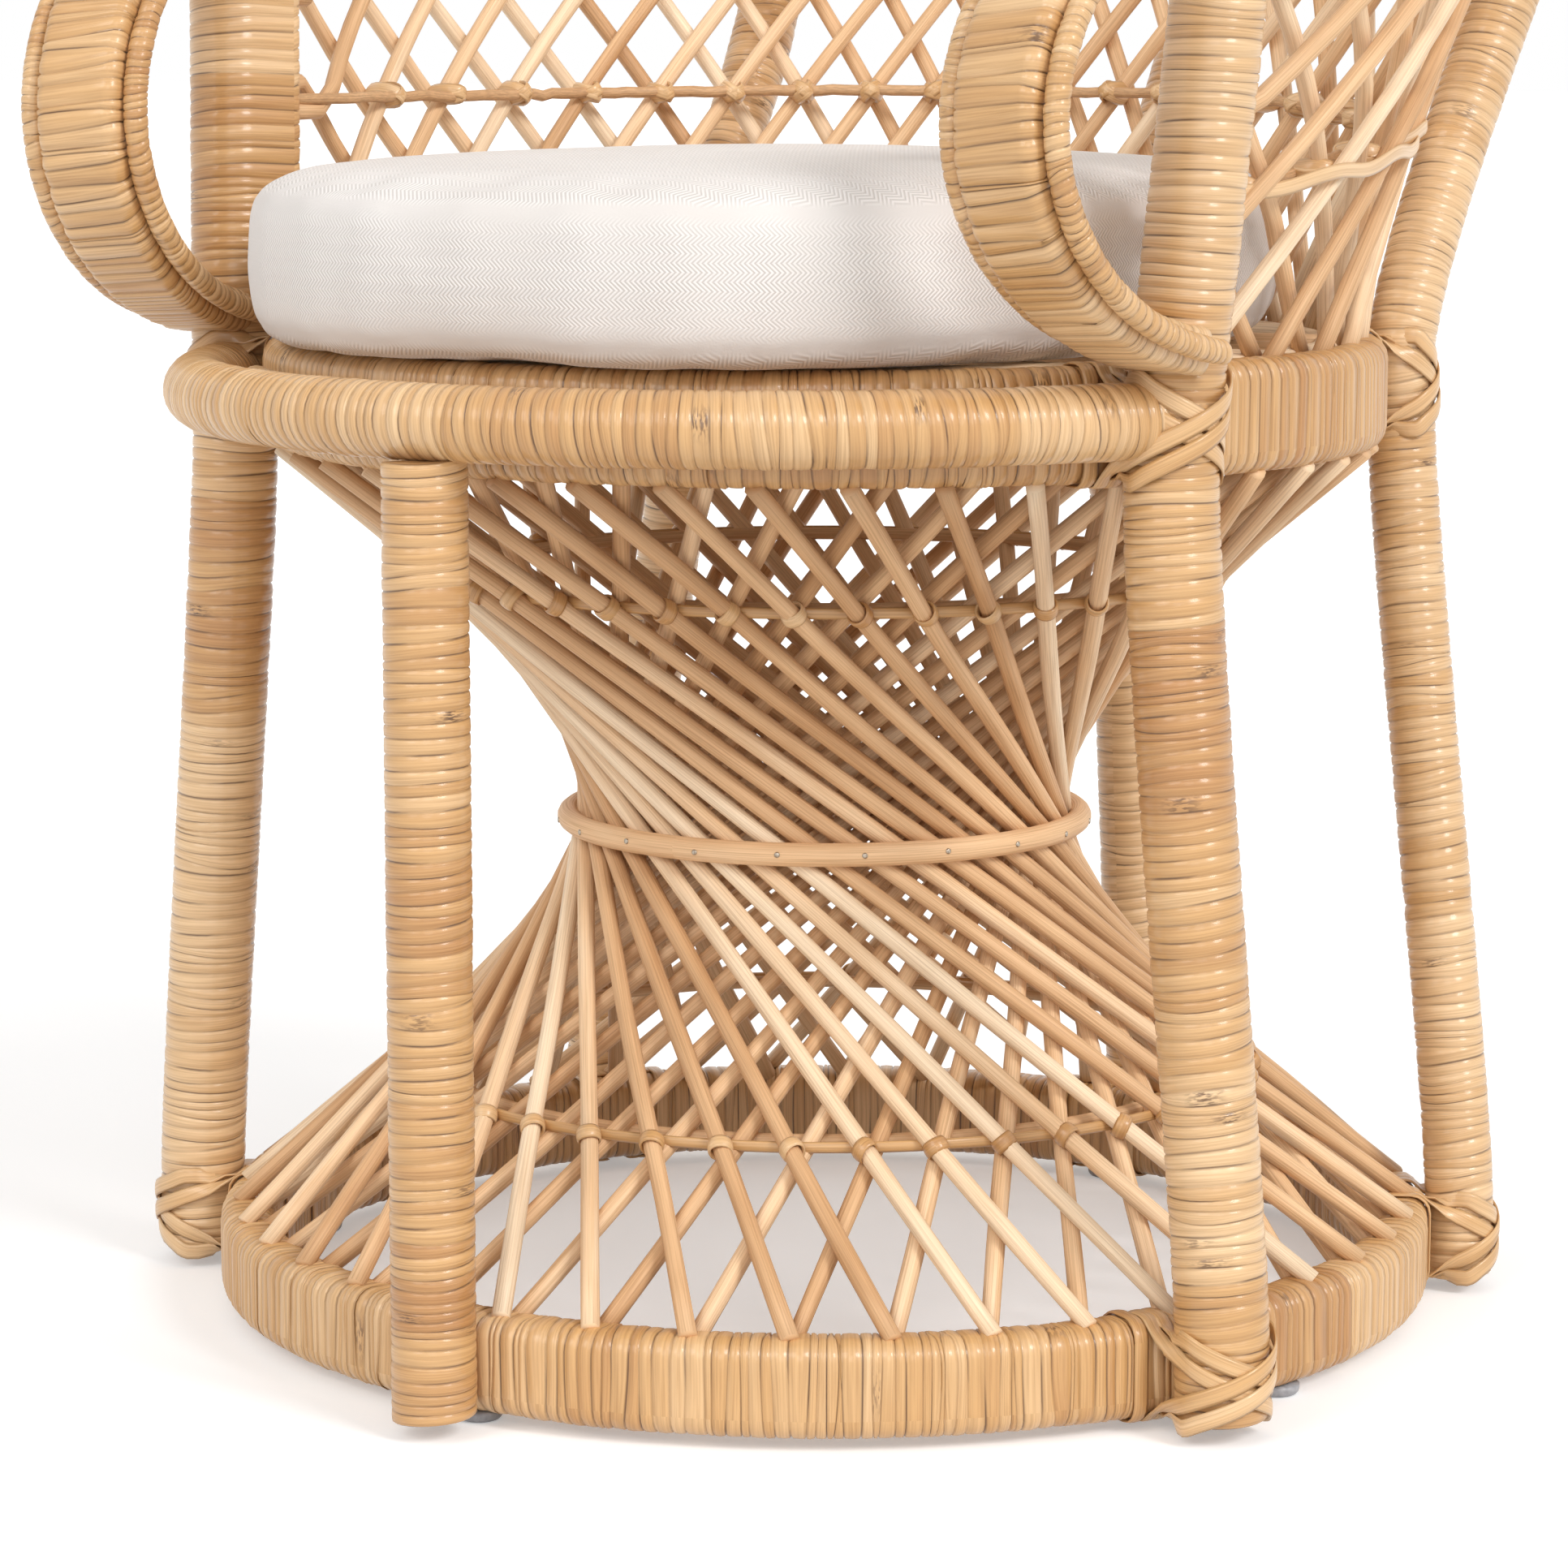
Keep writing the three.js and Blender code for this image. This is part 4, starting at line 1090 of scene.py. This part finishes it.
def lash(surface, path, radius, outer, wall, bottom, top):
    """Crossed strips of peel that tie a post to a hoop, and a loop round the hoop on both sides of it."""
    def post_at(height):
        return sample(path, path[:, 2], height)

    middle = post_at((bottom + top) / 2)
    out = unit(middle * LEVEL)
    along = np.array([-out[1], out[0], 0])
    angle = degrees(atan2(middle[0], -middle[1]))

    def over_edge(at, edge, up):
        return [
            (at_angle(outer - wall * 0.6, at, edge + up * LASH_PROUD), up * UP),
            (at_angle(outer - wall * 0.2, at, edge + up * 0.6), up * UP + 0.3 * out),
            (at_angle(outer + LASH_PROUD, at, edge - up * 4), out + up * 0.5 * UP),
        ]

    for lean in (1, -1):
        over = radius + (1 if lean > 0 else 1 + LASH_THICK)
        turn = np.radians(np.linspace(-LASH_TURN, LASH_TURN, 9))[:, None]
        facing = np.cos(turn) * out + np.sin(turn) * lean * along
        for lift in LASH_LIFTS:
            start, end = (
                angle + end * lean * degrees((radius - LASH_TUCK + end * 0.6 * lift) / outer)
                for end in (-1, 1)
            )
            height = np.linspace(top - LASH_INSET, bottom + LASH_INSET, 9) + lift
            round_post = zip(post_at(height) + over * facing, facing)
            stops = [*over_edge(start, top, 1), *round_post, *over_edge(end, bottom, -1)[::-1]]
            places, facings = (smooth(np.array(values), 4) for values in zip(*stops))
            look = (0.45 + 0.5 * rng.random(), 0, 0)
            strip(surface, places, facings, ribbon_outline(LASH_WIDTH, LASH_THICK), look)
    section = boxed_outline(wall / 2 + LASH_PROUD, (top - bottom) / 2 + LASH_PROUD, HOOP_CORNER, 2)
    x, y = section.T
    beside = degrees((radius + LOOP_BESIDE) / outer)
    for at in (angle - beside, angle + beside):
        loop = at_angle(outer - wall / 2 + x, at, (top + bottom) / 2 + y)
        strip(surface, loop, loop - loop.mean(0), ribbon_outline(LOOP_WIDTH, LASH_THICK), closed=True)


lashings = Surface()
posts = [
    (lower_post, ARM_POST_RADIUS),
    (mirrored(lower_post), ARM_POST_RADIUS),
    *((path, BACK_POST_RADIUS) for path in back_posts.values()),
]
for path, radius in posts:
    lash(lashings, path, radius, BASE_RADIUS, BASE_WALL, GLIDE_HEIGHT, BASE_TOP)
    lash(lashings, path, radius, SEAT_RADIUS, SEAT_WALL, SEAT_BOTTOM, SEAT_TOP)
lashings.make("post_lashings", PEEL)


# Cushion
SEAM_REACH = 8.0
SEAM_DEPTH = 0.9
EDGE_ROLL = 20
SAG = 5
SAG_START = 252
SAG_RUN = 22
CUSHION_GROWTH = 0.005
CUSHION_SPARE = np.array([0.002, 0.002, 0.004])
VOXEL = 0.0055
CLOTH_FRAMES = 20
CLOTH_SETTINGS = {
    "use_pressure": True,
    "uniform_pressure_force": 4,
    "quality": 5,
    "mass": 0.3,
    "tension_stiffness": 20,
    "compression_stiffness": 20,
    "bending_stiffness": 2,
}
TOP_EDGE_DRAW = 20
TOP_SQUARENESS = 4.5
BOTTOM_EDGE_DRAW = 27
BOTTOM_SQUARENESS = 3.2


def in_plan(points):
    """How far points are from the middle of the cushion, across and to the back."""
    return points[:, 0] / MM, (points[:, 1] - AXIS_Y) / MM + CUSHION_FORWARD


def above_deck(points):
    return points[:, 2] / MM - SEAT_TOP - CLEARANCE


def reach_of(x, y):
    """How far out a place is in plan: 1 on the cushion's outline, 0 in its middle."""
    x, y = np.abs(x / CUSHION_HALF_WIDTH), np.abs(y / CUSHION_HALF_DEPTH)
    return (x**CUSHION_SQUARENESS + y**CUSHION_SQUARENESS) ** (1 / CUSHION_SQUARENESS)


def drawn_in(level, draw, squareness):
    """How far in the side is at a level, which runs from -1 at the bottom seam to 1 at the top seam."""
    return draw * (1 - (1 - np.abs(level) ** squareness) ** (1 / squareness))


def square_up(mesh):
    """Gives the sides a tight edge above and a rounder one below, as in the photo."""
    points = points_of(mesh)
    level = np.clip(2 * above_deck(points) / CUSHION_SIDE_HEIGHT - 1, -1, 1)
    now = drawn_in(level, CUSHION_EDGE_DRAW, CUSHION_SIDE_SQUARENESS)
    above = drawn_in(level, TOP_EDGE_DRAW, TOP_SQUARENESS)
    below = drawn_in(level, BOTTOM_EDGE_DRAW, BOTTOM_SQUARENESS)
    wanted = np.where(level > 0, above, below)
    centre = AXIS_Y - CUSHION_FORWARD * MM
    points[:, 0] *= (CUSHION_HALF_WIDTH - wanted) / (CUSHION_HALF_WIDTH - now)
    off = points[:, 1] - centre
    points[:, 1] = centre + off * (CUSHION_HALF_DEPTH - wanted) / (CUSHION_HALF_DEPTH - now)
    move_to(mesh, points)


def apply(piece, kind, **settings):
    modifier = piece.modifiers.new(kind.lower(), kind)
    put(modifier, settings)
    bpy.ops.object.modifier_apply(modifier=modifier.name)


def blow_up(piece):
    """Inflates the cover as cloth, so that it is full between its seams."""
    start = points_of(piece.data)
    cloth = piece.modifiers.new("cloth", "CLOTH")
    put(cloth.settings, CLOTH_SETTINGS)
    cloth.settings.effector_weights.gravity = 0
    cloth.collision_settings.use_collision = False
    for number in range(1, CLOTH_FRAMES + 1):
        scene.frame_set(number)
    bpy.ops.object.modifier_apply(modifier="cloth")
    scene.frame_set(1)
    moved = points_of(piece.data) - start
    length = np.linalg.norm(moved, axis=1, keepdims=True)
    return start + moved * np.minimum(1, CUSHION_GROWTH / np.maximum(length, 1e-9))


def sagged(points):
    """Lowers the edge that overhangs the seat hoop, which rests on nothing."""
    out = np.hypot(points[:, 0], points[:, 1] - AXIS_Y) / MM
    level = above_deck(points) / CUSHION_SIDE_HEIGHT
    fall = SAG * np.clip((out - SAG_START) / SAG_RUN, 0, 1) * np.clip(1 - level, 0, 1)
    return points - fall[:, None] * MM * UP


def stitch(mesh):
    """Draws the cover in along the seams round its top and bottom edges."""
    points = points_of(mesh)
    from_seam = np.abs(reach_of(*in_plan(points)) - SEAM_RATIO) * CUSHION_HALF_WIDTH
    depth = SEAM_DEPTH * np.clip(1 - from_seam / SEAM_REACH, 0, 1) ** 2
    move_to(mesh, points - read(mesh.vertices, "normal") * depth[:, None] * MM)


def weave_places(mesh):
    """Gives each corner its place in the weave: round the sides, and along X and Y on top and below."""
    points = points_of(mesh)
    corners = read(mesh.loops, "vertex_index", 1, np.int32).reshape(-1, 4)
    x, y = in_plan(points)
    turns = np.linspace(-pi, pi, 721)
    shape = on_circle(turns)
    girth = run_of(shape / reach_of(*shape.T)[:, None])
    round_place = np.interp(np.arctan2(-x, -y), turns, girth)[corners]
    wraps = np.ptp(round_place, axis=1) > girth[-1] / 2
    round_place += (wraps[:, None] & (round_place < girth[-1] / 2)) * girth[-1]
    reach = reach_of(x, y)
    height = above_deck(points) - CUSHION_SIDE_HEIGHT / 2
    height += np.clip(height / EDGE_ROLL, -1, 1) * np.maximum(0, 1 - reach) * CUSHION_HALF_WIDTH
    store(mesh, "weave_side", "CORNER", stacked(round_place, height[corners], reach[corners]))
    store(mesh, "weave_top", "POINT", stacked(x, y, 0))


def cushion_piece():
    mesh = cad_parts["seat_cushion"].data.copy()
    mesh.name = "cushion_cloth"
    mesh.materials.clear()
    piece = add("cushion_cloth", mesh)
    bpy.context.view_layer.objects.active = piece
    piece.select_set(True)
    low, high = (np.array(corner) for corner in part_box("seat_cushion"))
    apply(piece, "REMESH", mode="VOXEL", voxel_size=VOXEL)
    apply(piece, "SMOOTH", iterations=6)
    square_up(piece.data)
    points = blow_up(piece)
    points = np.clip(points, low - CUSHION_SPARE * LEVEL, high + CUSHION_SPARE)
    move_to(piece.data, sagged(points))
    apply(piece, "SMOOTH", iterations=4)
    apply(piece, "SUBSURF", levels=1, render_levels=1)
    mesh = piece.data
    stitch(mesh)
    weave_places(mesh)
    mesh.shade_smooth()
    mesh.materials.append(CLOTH)
    piece.select_set(False)
    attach(piece, "cushion")
    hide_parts("seat_cushion")


cushion_piece()


# Floor, light and camera
def in_sight(tree):
    """1 for rays from the camera, straight or off gloss and glass, 0 for those that light the object."""
    rays = node(tree, "ShaderNodeLightPath").outputs
    seen = calc(tree, "MAXIMUM", rays["Is Glossy Ray"], rays["Is Transmission Ray"])
    return calc(tree, "MAXIMUM", rays["Is Camera Ray"], seen)


def stage():
    mesh = bpy.data.meshes.new("floor")
    corners = [(x * FLOOR_HALF, y * FLOOR_HALF, 0) for x, y in ((-1, -1), (1, -1), (1, 1), (-1, 1))]
    mesh.from_pydata(corners, [], [range(4)])
    ground = add("floor", mesh)
    made, tree, shader = material("pale_floor")
    dress(tree, shader, {
        "Base Color": (0.85, 0.85, 0.85, 1),
        "Emission Color": (1, 1, 1, 1),
        "Emission Strength": times(tree, in_sight(tree), FLOOR_GLOW),
        "Roughness": 0.9,
        "Specular IOR Level": 0.1,
    })
    mesh.materials.append(made)
    world = bpy.data.worlds.new("studio")
    scene.world = world
    world.use_nodes = True
    tree = world.node_tree
    back = tree.nodes["Background"]
    strength = spread(tree, in_sight(tree), 0.0, 1.0, SKY, 1.0)
    dress(tree, back, {"Color": (1, 1, 1, 1), "Strength": strength})


def aim(thing, place, target):
    thing.location = place
    thing.rotation_euler = (Vector(target) - Vector(place)).to_track_quat("-Z", "Y").to_euler()


def towards(bearing, elevation):
    """A direction away from the object, in degrees right of the camera's and above the floor."""
    high = radians(elevation)
    return at_angle(cos(high), CAMERA_BEARING + bearing, sin(high))


def sun(name, bearing, elevation, strength, width):
    """A distant lamp, with its width in degrees."""
    light = bpy.data.lights.new(name, "SUN")
    light.energy = strength
    light.angle = radians(width)
    aim(add(name, light), 5 * towards(bearing, elevation), (0, 0, 0))


SKY = 0.6
FLOOR_GLOW = 0.3
FLOOR_HALF = 40
CAMERA_LENS = 112.7
CAMERA_PITCH = 8.75
CAMERA_PLACE = np.array([1218.6, -1874.8, 581.5])
CAMERA_BEARING = degrees(atan2(0.552, 0.834))
stage()
sun("key", 45, 36, 1.6, 20)
sun("fill", -42, 36, 0.82, 30)
sun("front", 0, 25, 0.42, 25)

camera_data = bpy.data.cameras.new("camera")
camera_data.lens = CAMERA_LENS
camera_data.sensor_width = 36
camera = add("camera", camera_data)
place = CAMERA_PLACE * MM + (0, AXIS_Y, 0)
aim(camera, place, place - towards(0, CAMERA_PITCH))
scene.camera = camera
scene.view_settings.view_transform = "Standard"
